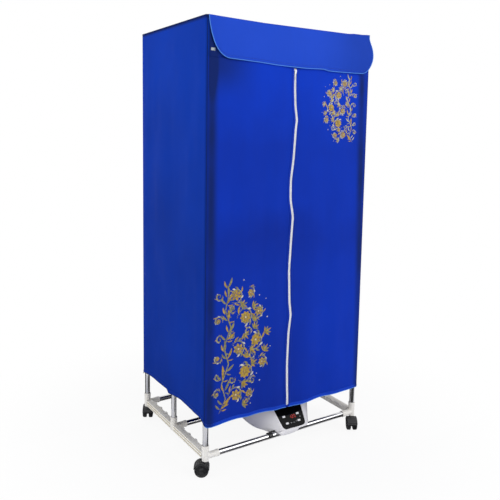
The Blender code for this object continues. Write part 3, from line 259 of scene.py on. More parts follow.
def steel_finish():
    """Bare drawn steel with fine scratches."""
    steel = Finish("bare_steel", 0.35, 1.0)
    lines = steel.noise(260.0, 3.0, 0.6, steel.place((0.06, 1.0, 1.0)))
    steel.set("Base Color", steel.blend(lines, tone(200, 202, 206), tone(160, 162, 166)))
    steel.set("Roughness", 0.28 + 0.2 * lines)
    steel.bump(lines, 0.00002, 0.4)
    return steel.material


def gloss_finish():
    """Polished black acrylic with a trace of dust."""
    gloss = Finish("panel_acrylic", 0.06, Specular_IOR_Level=0.05)
    dust = gloss.noise(700.0, 2.0, 0.6).step(0.62, 0.75)
    gloss.set("Base Color", gloss.blend(dust, tone(8, 8, 11), tone(22, 22, 26)))
    gloss.set("Roughness", 0.05 + 0.16 * dust)
    return gloss.material


def print_finish(name, colour, worn):
    """Screen print on cloth: the ink breaks up a little over the threads."""
    ink = Finish(name, 0.5, Specular_IOR_Level=0.4)
    patch = ink.noise(160.0, 3.0, 0.6)
    ink.set("Base Color", ink.blend(patch.step(0.35, 0.7), colour, worn))
    ink.set("Roughness", 0.42 + 0.2 * patch)
    ink.bump(patch, 0.00005, 0.5)
    return ink.material


def glow_finish(name, colour, strength):
    """A glowing mark on the panel, brighter in the middle of its grain; the digits are lit, and on the white
    printed marks the glow is painted light.
    """
    glow = Finish(name, 0.3, Emission_Strength=strength)
    grain = glow.noise(900.0, 1.0, 0.5)
    glow.set("Base Color", colour)
    glow.set("Emission Color", glow.blend(grain, colour, tuple(0.7 * c for c in colour[:3]) + (1.0,)))
    return glow.material


def board_finish():
    """Green lacquered board with paler tracks."""
    board = Finish("circuit_board", 0.35)
    tracks = board.node("ShaderNodeTexVoronoi", {"feature": "DISTANCE_TO_EDGE"},
                        {"Vector": board.place(), "Scale": 260.0})
    board.set("Base Color", board.blend(tracks.step(0.05, 0.12), tone(70, 130, 80), tone(14, 74, 38)))
    board.bump(tracks, 0.00005, 0.3)
    return board.material


# Dark navy for painted shade on the blue cloth: round the front corner posts, beneath the valance and along
# the walls' top edge.
SHADE_NAVY = (0.0040, 0.018, 0.14, 1.0)
# Painted light and shade of the slack cloth's folds: (height, level) pairs for the doors and for the walls.
DOOR_FOLD_SHADE = ((0.20, 0.12), (0.30, 0.24), (0.47, 0.34), (0.66, 0.31), (0.78, 0.19), (0.90, 0.46),
              (1.10, 0.38), (1.30, 0.86))
WALL_FOLD_SHADE = ((0.22, 0.20), (0.35, 0.27), (0.50, 0.28), (0.65, 0.28), (0.80, 0.30), (1.00, 0.40),
              (1.15, 0.52), (1.40, 0.68))
BLUE = cloth_finish("blue_fabric", (0.0028, 0.0225, 0.295, 1.0), (0.0020, 0.045, 0.60, 1.0), dark=SHADE_NAVY,
                    folds=DOOR_FOLD_SHADE)
# The doors' hem band: the blue made brighter, a painted highlight along the hem.
EDGE = cloth_finish("hem_fabric", (0.0045, 0.036, 0.39, 1.0), (0.0060, 0.052, 0.55, 1.0), dark=SHADE_NAVY)
# The walls' cloth: the doors' blue made darker as painted shade, with painted shade along its top edge.
WALL = cloth_finish("side_fabric", (0.0032, 0.026, 0.245, 1.0), (0.0040, 0.052, 0.52, 1.0), 0.0, 0.03, SHADE_NAVY,
                    (1.484, 1.496), WALL_FOLD_SHADE)
# The valance's paler blue, with painted shade towards its right end.
PALE = cloth_finish("valance_fabric", (0.0085, 0.042, 0.34, 1.0), (0.0150, 0.074, 0.63, 1.0), 0.03, 0.07,
                    right_end_shade=0.50)
PIPING = cloth_finish("piping_fabric", (0.055, 0.19, 0.72, 1.0), (0.09, 0.27, 0.82, 1.0), 0.05)
SEAM = cloth_finish("seam_fabric", (0.004, 0.012, 0.075, 1.0), (0.007, 0.020, 0.11, 1.0), 0.0, 0.03)
THREAD = print_finish("sewing_thread", tone(30, 66, 178), tone(22, 52, 150))
GOLD = print_finish("gold_print", tone(190, 156, 58), tone(134, 110, 48))
STEM = print_finish("stem_print", tone(146, 140, 84), tone(98, 100, 88))
PALE_STEM = print_finish("pale_print", tone(186, 184, 158), tone(122, 126, 130))
CREAM = print_finish("cream_print", tone(214, 208, 188), tone(170, 168, 170))
TAB = print_finish("grip_tape", tone(176, 184, 190), tone(120, 128, 138))
CHROME = chrome_finish()
IVORY = plastic_finish("ivory_plastic", tone(248, 246, 242), tone(236, 231, 221), 0.42)
TAN = plastic_finish("groove_plastic", tone(198, 186, 150), tone(176, 162, 126), 0.5)
WHITE = plastic_finish("white_plastic", tone(242, 241, 245), tone(233, 232, 238), 0.26, grain_depth=0.00001,
                       Coat_Weight=0.15, Coat_Roughness=0.1)
# The heater's hull and nose: white plastic with painted shade towards the back, where the cover shades it.
HULL = plastic_finish("hull_plastic", tone(244, 243, 247), tone(206, 205, 216), 0.30, grain_depth=0.00001,
                      inner=tone(166, 166, 188))
BLACK = plastic_finish("black_plastic", tone(20, 20, 23), tone(38, 38, 42), 0.42, 600.0, 0.00004)
ZIP = plastic_finish("zip_plastic", tone(250, 251, 254), tone(234, 237, 246), 0.36)
GLOSS = gloss_finish()
STEEL = steel_finish()
BOARD = board_finish()
CERAMIC = plastic_finish("heating_ceramic", tone(176, 174, 168), tone(140, 136, 130), 0.55, 400.0, 0.00006)
RED_GLOW = glow_finish("digit_glow", tone(214, 34, 26), 0.55)
# The white marks are print; their glow is painted light. The red digits are a lit display.
WHITE_PAINTED_GLOW = glow_finish("mark_painted_glow", tone(206, 208, 214), 0.25)
SLOT_FINISHES = {"blue_fabric": (BLUE, EDGE, WALL, SEAM, THREAD, STEM, PALE_STEM, GOLD, CREAM),
                 "valance_fabric": (PALE, PIPING), "zip_plastic": (ZIP, TAB), "white_plastic": (WHITE, HULL),
                 "panel_acrylic": (GLOSS, RED_GLOW, WHITE_PAINTED_GLOW), "ivory_plastic": (IVORY, TAN),
                 "black_plastic": (BLACK,), "chromed_steel": (CHROME,), "bare_steel": (STEEL,)}
SLOT_OF = {finish.name: slot for slot, finishes in SLOT_FINISHES.items() for finish in finishes}


# Shapes

def moved(points, matrix):
    """Points carried by a 4 x 4 placement."""
    turn = np.array(matrix, float)
    return np.asarray(points, float) @ turn[:3, :3].T + turn[:3, 3]


def axes(origin, first, second, third):
    """The placement whose axes are three vectors and whose origin is a point."""
    return Matrix([(first[k], second[k], third[k], origin[k]) for k in range(3)] + [(0, 0, 0, 1)])


FACING = axes((0, 0, 0), (1, 0, 0), (0, 0, 1), (0, -1, 0))
SIDEWAYS = axes((0, 0, 0), (0, 1, 0), (0, 0, 1), (1, 0, 0))


class Shape:
    """Surfaces that become one piece; each is a grid of points or an outline carried along."""

    def __init__(self):
        self.points = []
        self.maps = []
        self.faces = []
        self.count = 0
        self.prints = 0

    def grid(self, points, uv=None, ring=False, around=False, flip=False, keep=None, place=None):
        """Quads between neighbours of a (rows, columns, 3) grid; ring closes its rows, around its columns."""
        points = np.asarray(points, float)
        if place is not None:
            points = moved(points, place)
        rows, columns = points.shape[:2]
        spots = self.count + np.arange(rows * columns).reshape(rows, columns)
        if around:
            spots = np.concatenate([spots, spots[:, :1]], 1)
        if ring:
            spots = np.concatenate([spots, spots[:1]], 0)
        quads = np.stack([spots[:-1, :-1], spots[:-1, 1:], spots[1:, 1:], spots[1:, :-1]], -1)
        quads = quads.reshape(-1, 4) if keep is None else quads[keep]
        self.faces += (quads[:, ::-1] if flip else quads).tolist()
        self.points.append(points.reshape(-1, 3))
        flat = np.zeros((rows * columns, 2)) if uv is None else np.stack(uv, -1).reshape(-1, 2)
        self.maps.append(flat)
        self.count += rows * columns
        return self

    def caps(self, rows, columns, flip=False):
        """One face over each end of the tube that the last grid of so many rows and columns made."""
        for start, back in ((self.count - rows * columns, flip), (self.count - columns, not flip)):
            face = list(range(start, start + columns))
            self.faces.append(face[::-1] if back else face)
        return self

    def lathe(self, profile, place=None, sides=32, squash=1.0, ring=False):
        """A profile of (radius, height) turned about Z: x = r cos a, y = squash r sin a, z = h."""
        radius, height = np.array(profile, float).T
        turn = np.arange(sides) * 2 * math.pi / sides
        points = np.stack(np.broadcast_arrays(radius[:, None] * np.cos(turn),
                                              squash * radius[:, None] * np.sin(turn), height[:, None]), -1)
        return self.grid(points, around=True, ring=ring, place=place)

    def slab(self, outline, low, high, edge=0.0006, place=None, holes=(), steps=3):
        """An outline from low to high with quarter-round rims: inset e(1 - sin a), rise e(1 - cos a)."""
        angles = np.linspace(0, math.pi / 2, steps + 1)
        insets = edge * (1 - np.sin(angles))
        rise = edge * (1 - np.cos(angles))
        insets = np.concatenate([insets, insets[::-1]])
        heights = np.concatenate([low + rise, high - rise[::-1]])
        loops = []
        for number, line in enumerate([outline, *holes]):
            line = anticlockwise(line)
            sign = -1 if number else 1
            rows = np.stack([inset(line, sign * d) for d in insets])
            level = np.broadcast_to(heights[:, None, None], rows.shape[:2] + (1,))
            loops.append(np.concatenate([rows, level], -1))
        starts = []
        for rows in loops:
            starts.append(self.count)
            self.grid(rows, around=True, place=place)
        spots = np.concatenate([start + np.arange(rows.shape[1]) for start, rows in zip(starts, loops)])
        last = np.concatenate([start + (rows.shape[0] - 1) * rows.shape[1] + np.arange(rows.shape[1])
                               for start, rows in zip(starts, loops)])
        for ends, row in ((spots, 0), (last, -1)):
            corners = tessellate_polygon([[Vector(p) for p in rows[row]] for rows in loops])
            self.faces += [[int(ends[k]) for k in corner] for corner in corners]
        return self

    def sweep(self, path, section, normal, closed=False):
        """A section of (out, side) carried along a path; out is the given normal, side is along x out."""
        path = np.asarray(path, float)
        along = np.gradient(path, axis=0)
        if closed:
            along = np.roll(path, -1, 0) - np.roll(path, 1, 0)
        along /= np.linalg.norm(along, axis=1)[:, None]
        out = np.broadcast_to(np.asarray(normal, float), path.shape)
        out = out - (out * along).sum(1)[:, None] * along
        out = out / np.linalg.norm(out, axis=1)[:, None]
        side = np.cross(along, out)
        section = np.asarray(section, float)
        points = path[:, None] + section[None, :, :1] * out[:, None] + section[None, :, 1:] * side[:, None]
        turn = np.linspace(0, 1, len(section)) * 2 * math.pi * np.abs(section).max()
        self.grid(points, np.broadcast_arrays(turn, run_along(path)[:, None]), around=True, ring=closed)
        return self if closed else self.caps(len(path), len(section), True)

    def make(self, name, finish, body="frame", replaces=(), slot=None, closed=True, thick=0.0, sharp=40.0,
             blend=None):
        """The finished piece: doubled points merged, faces outwards, riding on its body, or with its
        placement baked in when blend is given.
        """
        mesh = bpy.data.meshes.new(name)
        mesh.from_pydata(np.concatenate(self.points).tolist(), [], self.faces)
        layer = mesh.uv_layers.new(name="cloth")
        spots = np.empty(len(mesh.loops), int)
        mesh.loops.foreach_get("vertex_index", spots)
        layer.data.foreach_set("uv", np.concatenate(self.maps)[spots].astype(np.float32).ravel())
        work = bmesh.new()
        work.from_mesh(mesh)
        bmesh.ops.remove_doubles(work, verts=work.verts, dist=2e-6)
        bmesh.ops.dissolve_degenerate(work, dist=1e-7, edges=work.edges)
        if closed:
            bmesh.ops.recalc_face_normals(work, faces=work.faces)
        work.to_mesh(mesh)
        work.free()
        mesh.shade_smooth()
        mesh.set_sharp_from_angle(angle=math.radians(sharp))
        mesh.materials.append(finish)
        piece = bpy.data.objects.new(name, mesh)
        bpy.context.scene.collection.objects.link(piece)
        if thick:
            wall = piece.modifiers.new("cloth", "SOLIDIFY")
            wall.thickness = thick
            wall.offset = -1.0
        if closed and not blend:
            piece.modifiers.new("faces", "WEIGHTED_NORMAL").keep_sharp = True
        if blend:
            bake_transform(piece)
        else:
            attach(piece, body)
        slot = SLOT_OF.get(finish.name) if slot is None else slot
        if replaces:
            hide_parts(*([replaces] if isinstance(replaces, str) else replaces))
        return piece


def run_along(path):
    """The length of a path up to each of its points."""
    return np.concatenate([[0], np.cumsum(np.linalg.norm(np.diff(path, axis=0), axis=1))])


def lifted(outline, height=0.0):
    """A flat outline's points at a height."""
    return np.concatenate([outline, np.full((len(outline), 1), height)], 1)


def anticlockwise(outline):
    outline = np.asarray(outline, float)
    following = np.roll(outline, -1, 0)
    area = (outline[:, 0] * following[:, 1] - following[:, 0] * outline[:, 1]).sum()
    return outline if area > 0 else outline[::-1]


def inset(outline, distance):
    """Moves an anticlockwise outline inwards along the mitre of each point's two edges."""
    before = outline - np.roll(outline, 1, 0)
    before /= np.linalg.norm(before, axis=1)[:, None]
    after = np.roll(before, -1, 0)
    inward = np.stack([-(before + after)[:, 1], (before + after)[:, 0]], -1)
    return outline + inward * (distance / (1 + (before * after).sum(1)))[:, None]


def rounded(corners, radii, steps=5):
    """A closed outline whose corners are arcs of the given radii."""
    corners = anticlockwise(corners)
    radii = np.broadcast_to(radii, len(corners))
    line = []
    for before, here, after, radius in zip(np.roll(corners, 1, 0), corners, np.roll(corners, -1, 0), radii):
        if radius <= 0:
            line.append(here[None])
            continue
        a = (before - here) / np.linalg.norm(before - here)
        b = (after - here) / np.linalg.norm(after - here)
        half = math.acos(np.clip(a @ b, -1, 1)) / 2
        centre = here + (a + b) / np.linalg.norm(a + b) * radius / math.sin(half)
        start = here + a * radius / math.tan(half) - centre
        finish = here + b * radius / math.tan(half) - centre
        t = np.linspace(0, 1, steps + 1)[:, None]
        spread = math.acos(np.clip(start @ finish / radius ** 2, -1, 1))
        if spread < 1e-3:
            line.append(here[None])
            continue
        arc = np.sin((1 - t) * spread) * start + np.sin(t * spread) * finish
        line.append(centre + arc / math.sin(spread))
    return np.concatenate(line)


def rectangle(low_x, high_x, low_y, high_y, radius=0.0, steps=5):
    return rounded([(low_x, low_y), (high_x, low_y), (high_x, high_y), (low_x, high_y)], radius, steps)


def circle(radius, count=12):
    turn = np.arange(count) * 2 * math.pi / count
    return np.stack([radius * np.cos(turn), radius * np.sin(turn)], -1)


def rise(value, low=0.0, high=1.0):
    """Smooth step from 0 at low to 1 at high."""
    t = np.clip((value - low) / (high - low), 0, 1)
    return t * t * (3 - 2 * t)


def drift(first, second, cell_first, cell_second, seed):
    """Soft random field from -1 to 1: lattice values joined by smooth steps."""
    first = np.asarray(first, float) / cell_first
    first, second = np.broadcast_arrays(first, np.asarray(second, float) / cell_second)
    lattice = np.random.default_rng(seed).uniform(-1, 1, (64, 64))
    i = np.floor(first).astype(int)
    j = np.floor(second).astype(int)
    u = rise(first - i)
    v = rise(second - j)
    low = lattice[i % 64, j % 64] * (1 - u) + lattice[(i + 1) % 64, j % 64] * u
    high = lattice[i % 64, (j + 1) % 64] * (1 - u) + lattice[(i + 1) % 64, (j + 1) % 64] * u
    return low * (1 - v) + high * v


def eased(value, stops):
    """A curve through (place, height) stops, its kinks softened by averaging neighbours."""
    place, height = np.array(stops, float).T
    fine = np.linspace(place[0], place[-1], 400)
    line = np.interp(fine, place, height)
    for _ in range(6):
        line[1:-1] = (line[:-2] + 2 * line[1:-1] + line[2:]) / 4
    return np.interp(value, fine, line)


# Camera, lamps and floor

def make_camera():
    """The photograph's eye: its place, and its yaw, pitch and roll."""
    yaw, pitch, roll = (math.radians(a) for a in (31.831, -6.604, 0.773))
    ahead = Vector((math.sin(yaw) * math.cos(pitch), math.cos(yaw) * math.cos(pitch), math.sin(pitch)))
    right = Vector((math.cos(yaw), -math.sin(yaw), 0))
    up = right.cross(ahead)
    across = right * math.cos(roll) + up * math.sin(roll)
    above = up * math.cos(roll) - right * math.sin(roll)
    camera = bpy.data.objects.new("camera", bpy.data.cameras.new("camera"))
    camera.data.lens = 43.45
    camera.data.sensor_width = 36.0
    camera.data.shift_x = 0.036
    camera.data.shift_y = -0.096
    camera.matrix_world = axes((-1.2639, -1.8941, 1.1432), across, above, -ahead)
    bpy.context.scene.collection.objects.link(camera)
    bpy.context.scene.camera = camera


def make_lamp(name, place, target, size, power):
    lamp = bpy.data.objects.new(name, bpy.data.lights.new(name, "AREA"))
    lamp.data.shape = "DISK"
    lamp.data.size = size
    lamp.data.energy = power
    lamp.location = place
    lamp.rotation_euler = (Vector(target) - Vector(place)).to_track_quat("-Z", "Y").to_euler()
    bpy.context.scene.collection.objects.link(lamp)


def make_studio():
    """A plain pale world, a pale floor, three soft lamps and dark cards that only reflections see."""
    scene = bpy.context.scene
    scene.view_settings.view_transform = "Standard"
    world = bpy.data.worlds.new("studio")
    scene.world = world
    world.use_nodes = True
    nodes, links = world.node_tree.nodes, world.node_tree.links
    path = nodes.new("ShaderNodeLightPath")
    seen = None
    for ray in ("Is Camera Ray", "Is Glossy Ray", "Is Transmission Ray"):
        if seen is None:
            seen = path.outputs[ray]
            continue
        either = nodes.new("ShaderNodeMath")
        either.operation = "MAXIMUM"
        links.new(seen, either.inputs[0])
        links.new(path.outputs[ray], either.inputs[1])
        seen = either.outputs[0]
    level = nodes.new("ShaderNodeMapRange")
    level.inputs[3].default_value = 0.56
    level.inputs[4].default_value = 1.0
    links.new(seen, level.inputs[0])
    links.new(level.outputs[0], nodes["Background"].inputs["Strength"])
    nodes["Background"].inputs["Color"].default_value = (1, 1, 1, 1)

    floor = Finish("floor", 0.6)
    spot = floor.place((1.0, 1.0, 0.0))
    away = floor.node("ShaderNodeVectorMath", {"operation": "LENGTH"}, {0: spot}, "Value")
    camera_ray = floor.node("ShaderNodeLightPath", output="Is Camera Ray")
    grain = floor.noise(3.0)
    floor.set("Base Color", floor.blend(grain, (0.93, 0.93, 0.93, 1.0), (0.95, 0.95, 0.95, 1.0)))
    glow = floor.node("ShaderNodeEmission", None, {"Color": (1, 1, 1, 1), "Strength": 1.0})
    share = (0.91 + 0.09 * away.step(0.45, 1.2)) * camera_ray
    lit = Value(floor, floor.shader.outputs[0])
    both = floor.node("ShaderNodeMixShader", None, {0: share, 1: lit, 2: glow})
    floor.links.new(both.socket, floor.nodes["Material Output"].inputs[0])
    turn = np.linspace(0, 2 * math.pi, 65)
    reach = np.linspace(0, 9.0, 12)[:, None]
    points = np.stack(np.broadcast_arrays(reach * np.cos(turn), reach * np.sin(turn), -0.0002), -1)
    Shape().grid(points).make("floor", floor.material, closed=False)

    # Dark cards that only reflections see, painted reflections: two upright ones far off, and flat ones on
    # the floor by the bars and behind the frame.
    cards = Shape().grid([[(x, y, 0.0), (x, y, 0.70)] for x, y in ((0.9, -3.3), (3.2, -1.7))])
    for left, right, front, back in ((-0.42, 0.42, -0.440, -0.268), (-0.05, 1.20, -1.500, -0.440),
                                     (-0.42, 0.42, -0.190, -0.014), (-0.42, 0.42, 0.050, 0.220),
                                     (-1.60, 1.60, 0.270, 1.900)):
        cards.grid([[(left, y, 0.0004), (right, y, 0.0004)] for y in (front, back)])
    cards = cards.make("dark_cards", GLOSS, slot="", closed=False)
    cards.visible_camera = cards.visible_diffuse = cards.visible_shadow = False
    make_lamp("key", (1.5, -3.2, 2.5), (0.0, -0.2, 0.8), 3.0, 54.0)
    make_lamp("side", (-3.2, 0.2, 1.3), (-0.3, 0.0, 0.6), 2.6, 27.0)
    make_lamp("over", (0.0, 0.4, 3.9), (0.0, 0.0, 1.2), 2.0, 18.0)


# Frame

GROOVES = (-0.0052, 0.0052)


def rail_shape(height, sign, upper, lower, stems):
    """A rail moulding: ribbed beam, three tube sockets, three bar collars and a toothed comb."""
    shape = Shape()
    place = axes((sign * UPRIGHT_X, 0, height), (-sign, 0, 0), (0, -sign, 0), (0, 0, 1))
    half, side, top = UPRIGHT_Y, 0.009, 0.0115
    grooves = []
    for centre in GROOVES:
        grooves += [(-side, centre - 0.0021), (-side + 0.0014, centre - 0.0014),
                    (-side + 0.0014, centre + 0.0014), (-side, centre + 0.0021)]
    section = rounded([(-side, top), *grooves[::-1], (-side, -top), (side, -top), (side, top)],
                      [0.0020] + [0.0005] * 8 + [0.0020, 0.0020, 0.0012], 3)
    beam = [np.insert(section, 1, y, axis=1) for y in (-half, 0.0, half)]
    shape.grid(beam, around=True, place=place)
    for y in (-1, 1):
        shape.slab(rectangle(-side, side, -top, top, 0.002), -0.002, 0.002, 0.0005,
                   place @ axes((0, y * (half - 0.0112), 0), (1, 0, 0), (0, 0, 1), (0, 1, 0)))
    reach, low, tooth, pitch, span = 0.0190, 0.0140, 0.016, 0.048, 0.2235
    first = (span - 3 * pitch) / 2
    edge = [(0.008, -half), (low, -half)]
    round_by = [0.0, 0.001]
    for start in (-half + 0.00625, 0.00625):
        for k in range(4):
            middle = start + first + k * pitch
            edge += [(low, middle - tooth / 2), (reach, middle - tooth / 4),
                     (reach, middle + tooth / 2), (low, middle + tooth / 2)]
            round_by += [0.001, 0.0024, 0.0010, 0.0010]
    edge += [(low, half), (0.008, half)]
    round_by += [0.001, 0.0]
    shape.slab(rounded(edge, round_by, 4), 0.0068, 0.0110, 0.0008, place)
    bead = [(0.0121, 0.0300), (0.0124, 0.0318), (0.0125, 0.0340), (0.0125, 0.0362), (0.0119, 0.0376),
            (0.0106, 0.0376), (0.0100, 0.0370), (0.0099, 0.0125), (0.0, 0.0125)]
    closed_top = [(0.0120, 0.0080), (0.0112, 0.0105), (0.0085, 0.0120), (0.0, 0.0125)]
    foot = [(0.0, 0.0042), (0.0044, 0.0042), (0.0044, -0.0160), (0.0100, -0.0160), (0.0112, -0.0152),
            (0.0116, -0.0130)]
    plain_foot = [(0.0, -0.0125), (0.0085, -0.0120), (0.0112, -0.0105), (0.0120, -0.0080)]
    for _, row in ROWS:
        spot = place @ Matrix.Translation((0, -sign * row * half, 0))
        profile = [(r, -h) for r, h in bead[::-1]] if lower else (foot if stems and row else plain_foot)
        profile = profile + (bead if upper else closed_top)
        shape.lathe(profile, spot, 36)
        flare = [(0.0, 0.002), (0.0108, 0.002), (0.0108, 0.034), (0.0114, 0.040), (0.0119, 0.0445),
                 (0.0120, 0.0485), (0.0115, 0.0500), (0.0104, 0.0500), (0.0099, 0.0494), (0.0099, 0.0202),
                 (0.0, 0.0202)]
        shape.lathe(flare, spot @ Matrix.Rotation(math.pi / 2, 4, "Y"), 36)
        for turn in (-1, 1):
            web = [(0.010, 0.0), (0.030, 0.0), (0.0105, 0.0150 * turn)]
            if (turn > 0 and upper) or (turn < 0 and lower):
                shape.slab(rounded(web, [0, 0.002, 0.001], 3), -0.0012, 0.0012, 0.0004, spot @ FACING)
    return shape


def make_frame():
    """Six rails and their twenty tubes."""
    kinds = {"base": (True, False, True), "middle": (True, True, False), "top": (False, True, False)}
    for level, options in kinds.items():
        for side, sign in SIDES:
            node = f"{level}_rail_{side}"
            rail = rail_shape(BAR_HEIGHTS[level], sign, *options)
            rail.make(f"{node}_moulding", IVORY, replaces=node)
            left, right = sorted((sign * (UPRIGHT_X + 0.0070), sign * (UPRIGHT_X + 0.0085)))
            lines = Shape()
            for low, high in ((-0.222, -0.014), (0.014, 0.222)):
                for centre in GROOVES:
                    z = BAR_HEIGHTS[level] + centre
                    lines.slab(rectangle(left, right, low, high, 0.0003, 2), z - 0.0016, z + 0.0016, 0.0003)
            lines.make(f"{node}_lines", TAN)
    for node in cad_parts:
        if "_upright_" not in node and "_bar_" not in node or node == "bar_clip":
            continue
        low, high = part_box(node)
        start = (low + high) / 2
        if "_upright_" in node:
            length = (high - low).z
            start.z = low.z
            turn = Matrix.Identity(4)
        else:
            length = (high - low).x
            start.x = low.x
            turn = Matrix.Rotation(math.pi / 2, 4, "Y")
        r, w, e = TUBE_RADIUS, TUBE_WALL, 0.0003
        middle = np.linspace(e, length - e, 9)
        wall = [(r - w, 0), (r - e, 0)] + [(r, h) for h in middle] + [(r - e, length), (r - w, length)]
        tube = Shape().lathe(wall, Matrix.Translation(start) @ turn, 40, ring=True)
        tube.make(f"{node}_tube", CHROME, replaces=node)


# Castors

HEADINGS = {"left_front": 148.0, "right_front": 238.0, "left_rear": 58.0, "right_rear": 328.0}
AXLE = Matrix.Translation((0.012, 0, 0.024))


def wheel_shape(place):
    """Two wheels on an axle, each with a domed cap, a dished face, eight ribs and a grooved tread."""
    shape = Shape()
    half = [(0.0, 0.0190), (0.0035, 0.0189), (0.0058, 0.0184), (0.0064, 0.0176), (0.0084, 0.0172),
            (0.0092, 0.0164), (0.0180, 0.0160), (0.0190, 0.0170), (0.0196, 0.0184), (0.0212, 0.0188),
            (0.0228, 0.0180), (0.0238, 0.0162), (0.0240, 0.0146), (0.0236, 0.0140), (0.0240, 0.0134),
            (0.0240, 0.0108), (0.0236, 0.0102), (0.0240, 0.0096), (0.0240, 0.0070), (0.0234, 0.0056),
            (0.0222, 0.0052), (0.0100, 0.0052), (0.0080, 0.0060), (0.0022, 0.0060)]
    shape.lathe(half + [(r, -h) for r, h in half[::-1]], place, 40)
    for side in (-1, 1):
        for k in range(8):
            rib = place @ Matrix.Rotation(k * math.pi / 4, 4, "Z")
            low, high = sorted((side * 0.0158, side * 0.0171))
            shape.slab(rectangle(0.0080, 0.0188, -0.0008, 0.0008, 0.0004, 2), low, high, 0.0003, rib, steps=2)
    return shape


def hood_shape(place):
    """A ribbed fender over both wheels, the web between them, the swivel boss and its stem."""
    shape = Shape()
    centre = place @ AXLE
    inner, outer, half = 0.0248, 0.0266, 0.0190
    angle = np.radians(np.linspace(12, 172, 81))
    edge = 0.0012
    across = np.array([(-half, inner), (-half, outer - edge), (-half + edge, outer), (-0.011, outer + 0.0001),
                       (-0.0035, outer + 0.0002), (0.0035, outer + 0.0002), (0.011, outer + 0.0001),
                       (half - edge, outer), (half, outer - edge), (half, inner), (0.006, inner),
                       (-0.006, inner)])
    ribs = 0.00055 * np.clip(np.cos((angle - angle[0]) * 24), -0.4, 0.6)[:, None]
    ribs = ribs * (across[None, :, 1] > outer - 0.0005)
    radius = across[None, :, 1] + ribs
    points = np.stack(np.broadcast_arrays(radius * np.cos(angle)[:, None], across[None, :, 0],
                                          radius * np.sin(angle)[:, None]), -1)
    shape.grid(points, around=True, place=centre).caps(len(angle), len(across))
    arc = np.radians(np.linspace(12, 172, 33))
    web = np.concatenate([np.stack([np.cos(arc), np.sin(arc)], -1) * (inner + 0.0008),
                          [(-0.0096, -0.0070), (-0.0080, -0.0084), (0.0080, -0.0084), (0.0096, -0.0070)]])
    shape.slab(web, -0.0046, 0.0046, 0.0006, centre @ FACING)
    boss = [(0.0, 0.0380), (0.0100, 0.0400), (0.0098, 0.0450), (0.0086, 0.0468), (0.0078, 0.0480),
            (0.0076, 0.0508), (0.0068, 0.0516), (0.0039, 0.0516), (0.0039, 0.0700), (0.0030, 0.0715),
            (0.0, 0.0715)]
    return shape.lathe(boss, place, 32)


def make_castors():
    """Four castors, each swivelled to its heading."""
    for side, sign in SIDES:
        for row, step in (("front", -1), ("rear", 1)):
            corner = f"{side}_{row}"
            turn = Matrix.Rotation(math.radians(HEADINGS[corner]), 4, "Z")
            place = Matrix.Translation((sign * UPRIGHT_X, step * UPRIGHT_Y, 0)) @ turn
            hood_shape(place).make(f"castor_fender_{corner}", BLACK, f"castor_{corner}",
                                   f"castor_hood_{corner}")
            twin = wheel_shape(place @ AXLE @ Matrix.Rotation(math.pi / 2, 4, "X"))
            twin.make(f"castor_twin_{corner}", BLACK, f"wheels_{corner}", f"castor_wheels_{corner}")


# Fabric cover

FRONT_HEM = [(-0.345, 0.187), (-0.339, 0.181), (-0.331, 0.1745), (-0.314, 0.172), (-0.272, 0.176),
             (-0.208, 0.180), (-0.165, 0.177), (-0.095, 0.178), (0.0, 0.169), (0.060, 0.167),
             (0.155, 0.173), (0.275, 0.171), (0.334, 0.172), (0.345, 0.176)]
SIDE_HEM = [(-0.262, 0.182), (-0.2495, 0.185), (-0.245, 0.191), (-0.236, 0.198), (-0.219, 0.203),
            (-0.170, 0.209), (-0.095, 0.213), (-0.030, 0.205), (0.002, 0.199), (0.010, 0.200),
            (0.016, 0.210), (0.090, 0.207), (0.190, 0.203), (0.240, 0.194), (0.262, 0.186)]
TOP_EDGE = [(-0.345, 1.4985), (-0.330, 1.4985), (-0.290, 1.4970), (-0.190, 1.4945), (-0.110, 1.4925),
            (0.0, 1.4910), (0.095, 1.4915), (0.185, 1.4905), (0.240, 1.4910), (0.300, 1.4955),
            (0.330, 1.4975), (0.345, 1.4975)]
ZIP_LINE = [(0.160, 0.0), (0.205, 0.0), (0.240, -0.002), (0.323, -0.005), (0.439, -0.002), (0.507, 0.006),
            (0.555, -0.001), (0.669, -0.006), (0.782, 0.0), (0.856, 0.005), (0.915, -0.007), (0.981, -0.008),
            (1.059, 0.002), (1.157, 0.008), (1.187, 0.012), (1.234, 0.004), (1.290, 0.0005), (1.330, 0.0),
            (1.360, 0.0)]
VALANCE_HEM = [(-0.34, 1.3735), (-0.2585, 1.3720), (-0.2023, 1.3700), (-0.1451, 1.3680), (-0.0858, 1.3640),
               (-0.0254, 1.3620), (0.0413, 1.3605), (0.1165, 1.3630), (0.1409, 1.3585), (0.1843, 1.3580),
               (0.2596, 1.3580), (0.3051, 1.3590), (0.34, 1.3600)]
EDGE_GAP = 0.0052
DOOR_Y = -0.2506
DOOR_SPAN = 0.332
YOKE_FOOT = 1.3570
HEM_BAND = 0.013


def cloth(name, finish, points, spread=None, flip=False, thick=CLOTH, **options):
    """A thin sheet over a grid of points; its map is spread, or else the points' own x and z."""
    points = np.asarray(points)
    spread = (points[..., 0], points[..., 2]) if spread is None else spread
    sheet = Shape().grid(points, spread, flip=flip)
    return sheet.make(name, finish, closed=False, thick=thick, **options)


def cord(name, finish, path, radius, out, closed=False, **options):
    """A round piping sewn along a path."""
    return Shape().sweep(path, circle(radius, 8), out, closed).make(name, finish, **options)


